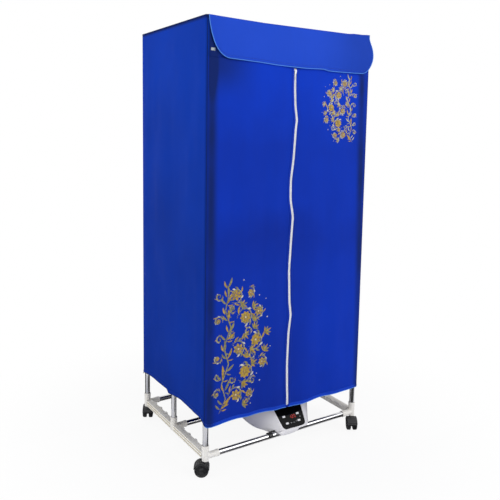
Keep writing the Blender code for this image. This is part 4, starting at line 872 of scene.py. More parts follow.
def plan_line():
    """The cover's outline from above, left stile round the back to the right stile, with its normals."""
    quarter = np.linspace(0, math.pi / 2, 9)
    w, d, r = HALF_WIDTH, HALF_DEPTH, CORNER
    points = [np.stack([np.linspace(-HINGE_X - 0.001, -w + r, 3), np.full(3, -d)], -1)[:-1]]
    for (x, y), start in (((-w + r, -d + r), -math.pi / 2), ((-w + r, d - r), math.pi),
                          ((w - r, d - r), math.pi / 2), ((w - r, -d + r), 0.0)):
        points.append(np.stack([x + r * np.cos(start - quarter), y + r * np.sin(start - quarter)], -1))
    points.append(np.array([[HINGE_X + 0.001, -d]]))
    line = np.concatenate(points)
    run = run_along(line)
    fine = np.union1d(np.linspace(0, run[-1], 230), run)
    line = np.stack([np.interp(fine, run, line[:, 0]), np.interp(fine, run, line[:, 1])], -1)
    along = np.gradient(line, fine, axis=0)
    along /= np.linalg.norm(along, axis=1)[:, None]
    return line, np.stack([-along[:, 1], along[:, 0]], -1), fine


def wall_swell(x, y, z):
    """How far the side or back wall stands out: slow standing folds and small creases."""
    on_side = np.abs(x) > HALF_WIDTH - CORNER
    along = np.where(on_side, y, 0.72 * x)
    share = np.where(on_side, np.abs(y) / (HALF_DEPTH - CORNER), np.abs(x) / (HALF_WIDTH - CORNER))
    open_part = rise(1 - np.clip(share, 0, 1), 0.0, 0.22)
    up = np.clip((z - HEM) / (TOP - HEM), 0, 1)
    held = 1 - 0.75 * np.exp(-((z - 0.78) / 0.07) ** 2) - rise(z, 1.40, 1.49)
    bend = 0.35 * drift(z, 0 * z, 0.45, 1.0, 3)
    waves = 0.5 + 0.5 * np.sin(2 * math.pi * (along / 0.21 + bend) + np.where(x > 0, 1.7, 0.4))
    swell = 0.0048 * waves * (0.35 + 0.65 * np.sin(math.pi * up))
    swell += 0.0022 * drift(along, z, 0.085, 0.30, 5) + 0.0010 * drift(along, z, 0.035, 0.12, 6)
    flare = 0.003 * rise(HEM + 0.10 - z, 0.0, 0.10)
    return open_part * held * (swell + flare) + 0.0005


def wall_points(line, normals, z):
    """Wall points at plan points and heights: the plan moved outwards by the swell."""
    x, y = line[None, :, 0], line[None, :, 1]
    reach = wall_swell(*np.broadcast_arrays(x, y, z))
    return np.stack([x + normals[None, :, 0] * reach, y + normals[None, :, 1] * reach, z], -1)


def hem_height(line):
    """Hem height round the walls: the side hems rise between the corners, the back one a little."""
    x, y = line[:, 0], line[:, 1]
    back = 0.190 + 0.010 * (1 - (x / HALF_WIDTH) ** 2) + 0.002 * np.sin(x * 21)
    height = np.where(y > HALF_DEPTH - CORNER, back, eased(y, SIDE_HEM))
    front = rise(-y, HALF_DEPTH - CORNER, HALF_DEPTH)
    return height * (1 - front) + eased(x, FRONT_HEM) * front


def round_corner(x, radius):
    """How far a front whose corners have this radius has turned back at x."""
    turned = np.clip(np.abs(x) - (HALF_WIDTH - CORNER), 0, CORNER)
    return radius - np.sqrt(radius ** 2 - turned ** 2)


def door_out(x, z):
    """How far a door's cloth stands out in front of its flat plane."""
    right = (x > 0) * 1.0
    reach = np.clip((HINGE_X - np.abs(x)) / HINGE_X, 0, 1)
    edge = rise(reach, 0.0, 0.22) * rise(1 - reach, 0.0, 0.20)
    head = rise(DOOR_TOP - z, 0.0, 0.16)
    sway = 0.05 * drift(z, 7.0 * right, 0.35, 1.0, 11)
    folds = 0.5 + 0.5 * np.sin(2 * math.pi * (2.6 * reach + sway) + 0.9 + 1.4 * right)
    out = 0.0042 * edge * head * folds * (0.55 + 0.45 * rise(1.1 - z, 0.0, 0.9))
    creases = 0.0022 * drift(x, z, 0.10, 0.28, 21) + 0.0009 * drift(x, z, 0.035, 0.10, 22)
    out += edge * creases + 0.0012 * edge
    near_zip = np.exp(-np.abs(x) / 0.045) * rise(np.abs(x), 0.004, 0.020)
    out += 0.0016 * near_zip * drift(z + 0.4 * np.abs(x), x, 0.045, 0.2, 23) * head
    return np.clip(out, 0.0, None)


def door_y(x, z):
    """Depth of the door cloth's face: flat, round the corner near the seam, less its swell."""
    return DOOR_Y + round_corner(x, CORNER + 0.0006) - door_out(x, z)


def door_points(sign, across, up, lift=0.0):
    """Door cloth points; across runs from the corner seam to the zip's edge, up from the hem to the head."""
    base = eased(sign * SEAM_X * (1 - across), FRONT_HEM)
    z = base + (DOOR_TOP - base) * up
    edge = eased(z, ZIP_LINE) + sign * EDGE_GAP
    x = sign * SEAM_X + (edge - sign * SEAM_X) * across
    return np.stack([x, door_y(x, z) - lift, z], -1)


def top_height(x, y):
    """Height of the cover's top: held up by the rails and bars, slack between them and at the front edge."""
    slack = rise(0.272 - np.abs(x), 0.0, 0.030)
    between = np.sin(math.pi * y / UPRIGHT_Y) ** 2
    level = 1.4992 - slack * (0.0025 + 0.0035 * between + 0.0006 * drift(x, y, 0.09, 0.09, 31) * between)
    front = rise(-y, 0.2345, 0.2525)
    return level * (1 - front) + eased(x, TOP_EDGE) * front


def stitches(path, out, length=0.0032, gap=0.0014, width=0.0007):
    """Short threads along a path: each a small five-sided strip that stands off the cloth."""
    path = np.asarray(path, float)
    run = run_along(path)
    count = int(run[-1] / (length + gap))
    starts = (np.arange(count) + 0.2) * (length + gap)
    ends = starts + length
    at = lambda spots, line: np.stack([np.interp(spots, run, line[:, k]) for k in range(3)], -1)
    a, b = at(starts, path), at(ends, path)
    along = (b - a) / np.linalg.norm(b - a, axis=1)[:, None]
    out = at(starts, np.broadcast_to(np.asarray(out, float), path.shape))
    side = np.cross(along, out)
    shape = Shape()
    section = np.array([(-0.0002, -0.5), (0.00025, -0.35), (0.00035, 0.0), (0.00025, 0.35), (-0.0002, 0.5)])
    high, wide = section[None, :, :1], section[None, :, 1:]
    rows = [spot[:, None] + high * out[:, None] + wide * width * side[:, None] for spot in (a, b)]
    for thread in np.stack(rows, 1):
        shape.grid(thread, around=True).caps(2, 5)
    return shape


def make_walls():
    """Side and back walls in one sheet, with its hem, hem piping, stitching and corner piping."""
    line, normals, run = plan_line()
    hem = hem_height(line)
    up = np.linspace(0, 1, 116)[:, None]
    top = np.where(line[:, 1] < -HALF_DEPTH + CORNER, eased(line[:, 0], TOP_EDGE), 1.4985)
    z = hem + (top - 0.0006 - hem) * up
    walls = cloth("cover_walls", WALL, wall_points(line, normals, z), np.broadcast_arrays(run, z), True,
                  replaces="cover_body")
    z = hem - 0.0006 + HEM_BAND * np.linspace(0, 1, 5)[:, None]
    low = wall_points(line, normals, z)
    low[..., :2] += normals * 0.0007
    band = cloth("cover_hem", WALL, low, np.broadcast_arrays(run, z), True)
    edge = wall_points(line, normals, hem[None, :])[0]
    edge[:, :2] += normals * 0.0004
    out = lifted(normals)
    piping = cord("cover_hem_piping", SEAM, edge, 0.0011, out)
    seam = wall_points(line, normals, hem[None, :] + 0.0105)[0]
    seam[:, :2] += normals * 0.0009
    thread = stitches(seam, out).make("cover_hem_stitching", THREAD)
    for side, sign in SIDES:
        foot, head = (float(eased(sign * SEAM_X, edge)) for edge in (FRONT_HEM, TOP_EDGE))
        x = sign * (SEAM_X + 0.0001)
        corner = [(x, -HALF_DEPTH + 0.0035, z) for z in np.linspace(foot + 0.0015, head, 90)]
        cord(f"corner_piping_{side}", SEAM, corner, 0.0010, (0, -1, 0))


def make_top():
    """The top sheet, the yoke over the doors and the piping round the top edge."""
    x = np.linspace(-1, 1, 70)[None, :]
    y = HALF_DEPTH * np.sin(np.linspace(-math.pi / 2, math.pi / 2, 60))[:, None]
    turned = np.clip(np.abs(y) - (HALF_DEPTH - CORNER), 0, CORNER)
    half = HALF_WIDTH - CORNER + np.sqrt(CORNER ** 2 - turned ** 2)
    across = x * half
    deep = np.broadcast_to(y, across.shape)
    points = np.stack([across, deep, top_height(across, deep)], -1)
    sheet = cloth("cover_top", BLUE, points, (across, deep))
    front_x = np.linspace(HINGE_X, -HINGE_X, 60)[1:-1]
    loop = np.concatenate([plan_line()[0], np.stack([front_x, np.full(58, -HALF_DEPTH)], -1)])
    rim = np.column_stack([loop, top_height(loop[:, 0], loop[:, 1]) - 0.0008])
    piping = cord("cover_top_piping", SEAM, rim, 0.0014, (0, 0, 1), closed=True)
    across = np.linspace(-SEAM_X, SEAM_X, 100)[None, :]
    up = np.linspace(0, 1, 14)[:, None]
    z = YOKE_FOOT + (eased(across, TOP_EDGE) - 0.0008 - YOKE_FOOT) * up
    creases = (0.0014 + 0.0004 * drift(across, z, 0.06, 0.05, 41)) * rise(z, 1.3745, 1.3800)
    face = -HALF_DEPTH + 0.0008 + round_corner(across, CORNER) - creases
    yoke = cloth("cover_yoke", BLUE, np.stack(np.broadcast_arrays(across, face, z), -1), thick=0.0004)
    tab = Shape().slab(rectangle(-0.3270, -0.3120, 1.3915, 1.4005, 0.0015), 0.2508, 0.2519, 0.0004, FACING)
    tab.make("grip_tab", TAB)


def make_doors():
    """Two cloth doors from the corner seams to the zip, each with hem, piping, zip hem and stitching."""
    across = np.sort(np.concatenate([np.linspace(0, 1, 64), np.linspace(0.008, 0.07, 8)]))[None, :]
    up = np.linspace(0, 1, 190)[:, None]
    for side, sign in SIDES:
        door = f"door_{side}"
        blend = ("frame", door, (sign * 0.3365, DOOR_Y, 0.8), (sign * 0.3135, DOOR_Y, 0.8))
        sheet = cloth(f"door_cloth_{side}", BLUE, door_points(sign, across, up), flip=sign > 0, replaces=door,
                      blend=blend)
        low = door_points(sign, across, 0 * across)[0]
        band = np.stack([low + [0, -0.0007, -0.0006 + h] for h in np.linspace(0, HEM_BAND, 5)])
        hem = cloth(f"door_hem_{side}", EDGE, band, flip=sign > 0, blend=blend)
        rim = low + [0, -0.0004, 0]
        piping = cord(f"door_hem_piping_{side}", PIPING, rim, 0.0012, (0, -1, 0), blend=blend)
        thread = stitches(low + [0, -0.0011, 0.0108], (0, -1, 0))
        thread = thread.make(f"door_hem_stitching_{side}", THREAD, blend=blend)
        fold = np.array([0, 0.003, 0.006, 0.009])[None, :]
        flap = cloth(f"zip_facing_{side}", BLUE, door_points(sign, 1 - fold / DOOR_SPAN, up, 0.0006),
                     flip=sign < 0, body=door)
        row = door_points(sign, 1 - 0.0072 / DOOR_SPAN, up, 0.0011)[:, 0]
        sewn = stitches(row, (0, -1, 0)).make(f"zip_stitching_{side}", THREAD, door)


def make_zip():
    """Teeth and tapes that follow the zip's line, and the slider with its pull."""
    z = np.linspace(0.1698, 1.3590, 240)[:, None]
    reach = np.array([0.0006, 0.0046, 0.0105])
    depth = np.array([-0.24935, -0.24935, -0.2494])
    turn = np.arange(6) * math.pi / 3
    runs = np.array([(0.0042, 0.45), (0.0040, 1.0), (0.0002, 1.0), (-0.0007, 0.75), (-0.0009, 0.3)])
    pitch = 0.0024
    for side, sign in SIDES:
        door = f"door_{side}"
        tape = np.stack(np.broadcast_arrays(eased(z, ZIP_LINE) + sign * reach, depth, z), -1)
        cloth(f"zip_tape_{side}", ZIP, tape, flip=sign < 0, thick=0.0004, body=door)
        teeth = Shape()
        foot, head = (0.1790 + pitch / 2, 1.3390) if sign > 0 else (0.1790, 1.3545)
        for height in np.arange(foot, head, pitch):
            x = float(eased(height, ZIP_LINE)) + sign * runs[:, :1]
            ring = np.stack([x + 0 * turn, DOOR_Y + 0.0009 + 0.00105 * runs[:, 1:] * np.sin(turn),
                             height + 0.00072 * runs[:, 1:] * np.cos(turn)], -1)
            teeth.grid(ring, around=True).caps(5, 6)
        end = rectangle(*sorted((sign * 0.0004, sign * 0.0068)), 0.1692, 0.1770, 0.0008)
        Shape().slab(end, 0.2508, 0.2518, 0.0003, FACING).make(f"zip_end_{side}", BLUE, door)
        teeth.make(f"zip_teeth_{side}", ZIP, door, f"zip_chain_{side}", sharp=60.0)
    body = [(-0.0055, 1.3525), (-0.0044, 1.3545), (0.0044, 1.3545), (0.0055, 1.3525), (0.0042, 1.3415),
            (0.0034, 1.3395), (-0.0034, 1.3395), (-0.0042, 1.3415)]
    slider = Shape()
    outline = rounded(body, 0.0008, 3)
    slider.slab(outline, 0.2510, 0.2520, 0.0003, FACING)
    slider.slab(outline, 0.2470, 0.2480, 0.0003, FACING)
    slider.slab(rectangle(-0.0005, 0.0005, 1.3508, 1.3542, 0.0002, 2), 0.2475, 0.2515, 0.0001, FACING)
    eye = rounded([(1.3460, 0.2515), (1.3515, 0.2515), (1.3508, 0.2537), (1.3468, 0.2537)], 0.0007, 3)
    for x in (-0.00475, -0.00045):
        slider.slab(eye, x - 0.00035, x + 0.00035, 0.0001, axes((0, 0, 0), (0, 0, 1), (0, -1, 0), (1, 0, 0)))
    slider.make("zip_slider_body", STEEL, "zip_slider", "zip_slider", "zip_plastic")
    tab = rectangle(-0.0044, -0.0008, 1.3208, 1.3491, 0.0015)
    hole = rectangle(-0.0034, -0.0018, 1.3235, 1.3300, 0.0007)
    pull = Shape().slab(tab, 0.2524, 0.2536, 0.0004, FACING, [hole])
    pin = [(0.0, 0.0), (0.0005, 0.0), (0.0007, 0.0002), (0.0007, 0.0034), (0.0005, 0.0036), (0.0, 0.0036)]
    pull.lathe(pin, Matrix.Translation((-0.0044, -0.2530, 1.3485)) @ SIDEWAYS, 12)
    pull.make("zip_pull_tab", STEEL, "zip_pull", "zip_pull", "zip_plastic")


def valance_bottom(x):
    """Lower edge of the valance: nearly level, its ends cut away to ovals."""
    left = np.clip((-0.2585 - x) / 0.0785, 0, 1)
    right = np.clip((x - 0.2920) / 0.0470, 0, 1)
    ends = 0.082 * (1 - np.sqrt(1 - left ** 2)) + 0.066 * (1 - np.sqrt(1 - right ** 2))
    return eased(x, VALANCE_HEM) + ends


def valance_point(x, down):
    """The valance's face: it leaves the top edge, sags, swells out lower down and rolls in at the hem."""
    head = eased(x, TOP_EDGE) + 0.0002
    z = head + (valance_bottom(x) - head) * down
    depth = head - z
    swell = 0.0082 + 0.0022 * np.sin(2 * math.pi * x / 0.31 + 1.1) + 0.0035 * rise(x, 0.20, 0.33)
    swell = swell * (0.45 + 0.55 * rise(x, -0.34, -0.20))
    shape = rise(depth, 0.0, 0.085) - 0.35 * rise(depth, 0.085, 0.145)
    x = x - 0.0100 * (1 - rise(depth, 0.0, 0.060)) * rise(x, 0.26, 0.339)
    x = x + (0.0030 + 0.0090 * rise(depth, 0.0, 0.075)) * rise(-x, 0.24, 0.337)
    crease = 0.0010 * drift(x + 0.5 * depth, depth, 0.055, 0.05, 51)
    crease = crease + 0.0008 * drift(x, depth, 0.12, 0.08, 52)
    out = swell * shape + crease * rise(depth, 0.0, 0.04)
    return np.stack(np.broadcast_arrays(x, -0.2518 - np.clip(out, 0, None), z), -1)


def make_valance():
    """The flap over the front's head, its piping and its stitching."""
    left, right = -0.3370, 0.3390
    ends = 1 - np.cos(np.linspace(0, math.pi / 2, 22))
    x = np.concatenate([left + 0.0785 * ends, np.linspace(left + 0.0785, right - 0.047, 76)[1:-1],
                        right - 0.047 * ends[::-1]])
    down = np.linspace(0, 1, 30)[:, None]
    bend = ("frame", "valance", (0, -0.251, 1.4995), (0, -0.251, 1.478))
    flap = cloth("valance_cloth", PALE, valance_point(x[None, :], down), flip=True, replaces="valance",
                 blend=bend)
    sides = np.linspace(0, 1, 24)
    edge = np.concatenate([valance_point(np.full(24, left), sides), valance_point(x, np.ones(len(x)))[1:-1],
                           valance_point(np.full(24, right), sides[::-1])])
    edge[:, 1] -= 0.0003
    piping = cord("valance_piping", PIPING, edge, 0.0014, (0, -1, 0), blend=bend)
    inner = valance_point(np.linspace(left + 0.02, right - 0.02, 90), np.full(90, 0.93)) + [0, -0.0004, 0]
    thread = stitches(inner, (0, -1, 0)).make("valance_stitching", THREAD, slot="valance_fabric", blend=bend)


# Printed scrollwork

def laid(shape, x, z, lift, flip=False):
    """Adds a print on the door's cloth, a hair above those before it."""
    shape.prints += 1
    y = door_y(x, z) - lift - 0.000008 * (shape.prints % 24)
    shape.grid(np.stack([x, y, z], -1), (x, z), flip=flip)


def ribbon(shape, path, widths):
    """A flat strip along a path of (x, z) points."""
    path = np.asarray(path, float)
    along = np.gradient(path, axis=0)
    along /= np.maximum(np.linalg.norm(along, axis=1), 1e-9)[:, None]
    side = np.stack([-along[:, 1], along[:, 0]], -1)
    widths = np.broadcast_to(widths, len(path))
    rows = np.stack([path + side * (k * widths / 2)[:, None] for k in (-1.0, -0.33, 0.33, 1.0)], 1)
    laid(shape, rows[..., 0], rows[..., 1], 0.00026)


def leaf(shape, base, angle, length, width, bend):
    """A pointed leaf: a curved mid line whose width follows the sine of its length."""
    t = np.linspace(0, 1, 13)
    heading = angle + bend * t
    steps = np.stack([np.cos(heading), np.sin(heading)], -1) * length / 12
    path = np.asarray(base) + np.concatenate([[[0, 0]], np.cumsum(steps[:-1], 0)])
    ribbon(shape, path, width * np.sin(math.pi * np.clip(t, 0.02, 0.98)) ** 0.8 + 0.0002)


def curl(radius, start, turns, shrink=0.16):
    """Spiral: the radius falls evenly to a share of itself as the angle turns."""
    t = np.linspace(0, 1, 60)
    r = radius * (1 - (1 - shrink) * t)
    a = start + 2 * math.pi * turns * t
    return r * np.cos(a), r * np.sin(a)


def blossom(gold, cream, centre, radius, petals, turn):
    """A round flower: pointed petals about a disc, with a pale eye."""
    for k in range(petals):
        a = turn + 2 * math.pi * k / petals
        start = np.asarray(centre) + 0.28 * radius * np.array([math.cos(a), math.sin(a)])
        leaf(gold, start, a, 0.78 * radius, 0.52 * radius, 0.25)
    dot(gold, centre, 0.30 * radius)
    dot(cream, centre, 0.15 * radius, 0.0001)


def dot(shape, centre, radius, lift=0.0):
    """A round spot."""
    turn = np.linspace(0, 2 * math.pi, 17)
    reach = np.array([0.02, 0.55, 1.0])[:, None] * radius
    laid(shape, centre[0] + reach * np.cos(turn), centre[1] + reach * np.sin(turn), 0.00046 + lift, True)


def spray(name, origin, scale, sign, branch, branches, stem, sprigs, dots):
    """A climbing scroll: a swaying stem with curls, leaves, flowers and scattered dots; sign mirrors it."""
    stems, gold, cream = Shape(), Shape(), Shape()
    wide, tall = scale
    size = math.sqrt(wide * tall)

    def spot(a, b):
        return np.stack([origin[0] + sign * wide * np.asarray(a), origin[1] + tall * np.asarray(b)], -1)

    t = np.linspace(0, 1, 90)
    knots = np.linspace(0, 1, len(stem))
    path = spot(*(eased(t, list(zip(knots, line))) for line in zip(*stem)))
    ribbon(stems, path, size * (0.0014 + 0.0036 * np.sin(math.pi * t) ** 0.7))
    ribbon(cream, path + [0.0022 * size, 0], size * 0.0008 * np.sin(math.pi * t))
    for a, b, radius, start, turns, kind in branches:
        p, q = curl(radius, start, turns)
        line = spot(a + p, b + q)
        s = np.linspace(0, 1, len(line))
        ribbon(stems, line, size * (0.0010 + 0.0030 * np.sin(math.pi * np.clip(s * 1.1, 0, 1)) ** 0.8))
        p, q = curl(radius + 0.0036, start, turns * 0.6, 0.5)
        ribbon(cream, spot(a + p, b + q), size * 0.0010 * np.sin(math.pi * np.linspace(0.03, 0.97, len(p))))
        for number, share in enumerate((0.05, 0.13, 0.21, 0.30, 0.39, 0.48)):
            k = int(share * len(line))
            step = line[k + 1] - line[k]
            side = math.copysign(1.0, turns) * -sign
            heading = math.atan2(step[1], step[0]) + side * (0.75 + 0.3 * (number % 2))
            shape = (gold, stems, cream)[number % 3]
            length = size * radius * (0.85 - 0.18 * (number % 3))
            leaf(shape, line[k], heading, length, size * radius * 0.20, -0.8 * side)
        if kind:
            petals = 9 if radius > 0.03 else 7
            blossom(gold, cream, spot(a, b), 0.86 * size * radius * kind, petals, start)
    for number, (a, b, angle, length, width, bend) in enumerate(sprigs):
        heading = angle if sign > 0 else math.pi - angle
        leaf((gold, stems)[number % 2], spot(a, b), heading, size * length, size * width, bend * sign)
    for a, b, radius in dots:
        dot(cream, spot(a, b), size * radius)
    door = "door_left" if sign > 0 else "door_right"
    for part, shape, finish in (("stems", stems, branch), ("flowers", gold, GOLD), ("sparks", cream, CREAM)):
        shape.make(f"{name}_{part}", finish, door, closed=False)


def make_prints():
    """The same scroll twice: large on the left door, small and mirrored on the right one."""
    pi = math.pi
    stem = [(0.012, 0.000), (0.040, 0.045), (0.022, 0.100), (0.052, 0.165), (0.030, 0.225), (0.060, 0.290),
            (0.034, 0.350), (0.050, 0.405), (0.040, 0.435)]
    branches = [(0.084, 0.052, 0.030, pi, -1.35, 0.74), (0.122, 0.128, 0.037, -2.4, 1.40, 0.72),
                (0.092, 0.212, 0.030, 2.6, -1.30, 0.76), (0.170, 0.232, 0.034, -2.6, 1.35, 0.74),
                (0.120, 0.318, 0.035, pi, -1.45, 0.72), (0.078, 0.398, 0.028, -2.2, 1.30, 0.84),
                (0.200, 0.150, 0.022, 2.4, -1.30, 0.80), (0.182, 0.330, 0.024, -2.8, 1.25, 0.80),
                (0.142, 0.400, 0.020, 2.0, -1.25, 0.76), (0.140, 0.048, 0.020, -2.6, 1.25, 0.76),
                (0.004, 0.190, 0.016, 0.4, -1.30, 0.55), (0.006, 0.318, 0.017, -0.4, 1.30, 0.55),
                (0.002, 0.070, 0.015, 0.2, 1.30, 0.5), (0.008, 0.400, 0.014, 0.2, -1.30, 0.0),
                (0.004, 0.128, 0.012, 0.0, -1.30, 0.0), (0.010, 0.255, 0.013, 0.2, 1.35, 0.0),
                (0.152, 0.182, 0.014, 1.2, -1.40, 0.0), (0.132, 0.268, 0.015, -1.0, 1.40, 0.0),
                (0.158, 0.092, 0.013, 0.4, 1.40, 0.0), (0.066, 0.262, 0.012, 1.0, 1.40, 0.0),
                (0.066, 0.352, 0.013, -0.6, -1.40, 0.0), (0.068, 0.108, 0.012, 0.6, -1.40, 0.0)]
    sprigs = []
    joints = [(0.030, 0.030), (0.036, 0.075), (0.026, 0.115), (0.040, 0.140), (0.046, 0.185),
              (0.034, 0.212), (0.042, 0.250), (0.054, 0.275), (0.048, 0.315), (0.038, 0.338),
              (0.042, 0.372), (0.046, 0.395), (0.020, 0.015), (0.044, 0.425)]
    for k, (a, b) in enumerate(joints):
        sprigs.append((a, b, 0.35 + 0.5 * (k % 3), 0.040, 0.0085, 0.6))
        sprigs.append((a - 0.004, b, pi - 0.5 - 0.4 * (k % 2), 0.028, 0.0070, -0.7))
        sprigs.append((a + 0.002, b - 0.006, -0.3 - 0.4 * (k % 2), 0.022, 0.0045, 0.8))
    for a, b, angle in ((0.150, 0.150, 0.4), (0.160, 0.272, 0.9), (0.150, 0.350, 0.2), (0.108, 0.090, -0.4),
                        (0.124, 0.176, 1.2), (0.142, 0.206, -0.3), (0.212, 0.250, 0.5), (0.156, 0.300, 0.8),
                        (0.112, 0.262, -0.8), (0.098, 0.358, 0.4), (0.206, 0.186, 0.9), (0.112, 0.012, 0.3)):
        for turn in (-0.9, -0.45, 0.0, 0.45, 0.9):
            sprigs.append((a, b, angle + turn, 0.030 - 0.008 * abs(turn), 0.0062, 0.4 * turn))
    dots = [(0.150, 0.010, 0.0022), (0.190, 0.085, 0.0026), (0.236, 0.200, 0.0020), (0.222, 0.305, 0.0026),
            (0.185, 0.385, 0.0022), (0.110, 0.446, 0.0024), (0.215, 0.370, 0.0020), (0.176, 0.112, 0.0018)]
    generator = np.random.default_rng(5)
    for a, b, radius, _, _, kind in branches[:8]:
        for angle in generator.uniform(0, 2 * pi, 3):
            dots.append((a + 0.86 * radius * math.cos(angle), b + 0.86 * radius * math.sin(angle), 0.0012))
    spray("lower_print", (-0.296, 0.212), (0.90, 1.0), 1, STEM, branches, stem, sprigs, dots)
    spray("upper_print", (0.273, 1.112), (0.66, 0.52), -1, PALE_STEM, branches, stem, sprigs, dots)


# Heater

HEATER = (0.040, -0.091)
HULL_X, HULL_Y = 0.162, 0.099
HULL_LOW, HULL_RIM = 0.058, 0.172
HULL_WALL = 0.0025
HULL_FLAT = 0.42
MOUTH_X, MOUTH_Y = 0.0402, 0.0402
LEG_X = 0.060
LID_EDGE = HULL_RIM + 0.0028
LID_RISE = 0.014
LID_SCREW_X = 0.150
BAR_CREST, BAR_BACK = 0.0781, -0.2250
LIP_X, LIP_HALF = 0.010, 0.046
LEAN = math.radians(42.8)
PANEL_UP = (0.0, math.sin(LEAN), math.cos(LEAN))
PANEL_OUT = (0.0, -math.cos(LEAN), math.sin(LEAN))
PANEL = axes((HEATER[0], -0.225, 0.110), (1, 0, 0), PANEL_UP, PANEL_OUT)


def hull_share(z):
    """Share of the hull's full width at a height: flat underneath, then a quarter round up to the rim."""
    drop = np.clip(1 - (z - HULL_LOW) / (HULL_RIM - HULL_LOW), 0, 1)
    return HULL_FLAT + (1 - HULL_FLAT) * np.sqrt(1 - drop ** 2)


def make_hull():
    """The heater's hull, its rear legs, its lid with outlet slots and its screws."""
    centre = Matrix.Translation((*HEATER, 0))
    turn = np.arange(96) * 2 * math.pi / 96
    angle = np.linspace(0, math.pi / 2, 18)

    def ring(wide, deep, z):
        return np.stack(np.broadcast_arrays(wide * np.cos(turn), deep * np.sin(turn), z), -1)

    def shell(a, wall):
        share = HULL_FLAT + (1 - HULL_FLAT) * math.sin(a)
        z = HULL_LOW + wall + (HULL_RIM - HULL_LOW - wall) * (1 - math.cos(a))
        return ring(HULL_X * share - wall, HULL_Y * share - wall, z)

    wall = HULL_WALL
    rows = [ring(MOUTH_X, MOUTH_Y, HULL_LOW), ring(MOUTH_X + 0.0014, MOUTH_Y + 0.0004, HULL_LOW)]
    rows += [shell(a, 0.0) for a in angle[:-1]]
    rows += [ring(HULL_X, HULL_Y, HULL_RIM - 0.0008), ring(HULL_X - 0.0006, HULL_Y - 0.0006, HULL_RIM),
             ring(HULL_X - wall, HULL_Y - wall, HULL_RIM)]
    rows += [shell(a, wall) for a in angle[::-1]] + [ring(MOUTH_X, MOUTH_Y, HULL_LOW + wall)]
    hull = Shape().grid(rows, around=True, ring=True, place=centre)
    arch = np.radians(np.linspace(0, 180, 17))
    leg = [(-0.040, 0.128), (-0.040, 0.072), (-0.0125, 0.068)]
    leg += [(-0.0103 * math.cos(a), 0.068 + 0.0103 * math.sin(a)) for a in arch]
    leg += [(0.0135, 0.068), (0.0135, 0.076), (0.004, 0.118), (-0.004, 0.128)]
    for x in (HEATER[0] - LEG_X, HEATER[0] + LEG_X):
        hull.slab(leg, x - 0.006, x + 0.006, 0.0008, SIDEWAYS)
    hull.make("heater_hull", HULL, replaces="heater_base")

    slots = np.array([(k - 3) * 0.024 for k in range(7)])
    edges = np.concatenate([slots - 0.004, slots + 0.004])
    across = HULL_X * np.sin(np.linspace(-math.pi / 2, math.pi / 2, 41))
    across = np.union1d(np.round(across, 5), np.round(edges, 5))
    across = across[np.concatenate([[True], np.diff(across) > 0.0009])]
    stop = 0.060 / HULL_Y
    rows = np.union1d(np.sin(np.linspace(-math.pi / 2, math.pi / 2, 31)), [-stop, stop])
    half = HULL_Y * np.sqrt(np.clip(1 - (across / HULL_X) ** 2, 0, 1))
    x, y = np.broadcast_arrays(across, rows[:, None] * half)
    reach = np.clip((x / HULL_X) ** 2 + (y / HULL_Y) ** 2, 0, 1)
    z = LID_EDGE + LID_RISE * (1 - reach)
    mid_x = (across[1:] + across[:-1]) / 2
    mid_row = (rows[1:] + rows[:-1]) / 2
    open_x = (np.abs(mid_x[:, None] - slots) < 0.0041).any(1)
    keep = ~(open_x & (np.abs(mid_row)[:, None] < stop))
    lid = Shape().grid(np.stack([x, y, z], -1), keep=keep, place=centre)
    lid.make("heater_lid", WHITE, replaces="heater_top", closed=False, thick=0.0022)
    skirt = wall + 0.0014
    rows = [ring(HULL_X - skirt - d, HULL_Y - skirt - d, z)
            for d, z in ((0, 0.1745), (0, 0.1672), (0.0022, 0.1668), (0.0022, 0.1745))]
    Shape().grid(rows, around=True, ring=True, place=centre).make("heater_lid_skirt", WHITE)
    seat = LID_EDGE + LID_RISE * (1 - (LID_SCREW_X / HULL_X) ** 2)
    head = [(0.0, seat + 0.0014), (0.0018, seat + 0.0016), (0.0030, seat + 0.0012), (0.0035, seat + 0.0004),
            (0.0035, seat), (0.0015, seat), (0.0015, 0.1625), (0.0, 0.1615)]
    notch = rectangle(-0.0022, 0.0022, -0.00035, 0.00035)
    for side, sign in SIDES:
        place = Matrix.Translation((HEATER[0] + sign * LID_SCREW_X, HEATER[1], 0))
        screw = Shape().lathe(head, place, 24)
        screw.slab(notch, seat + 0.0008, seat + 0.00175, 0.0001, place)
        screw.make(f"lid_screw_head_{side}", STEEL, replaces=f"lid_screw_{side}")


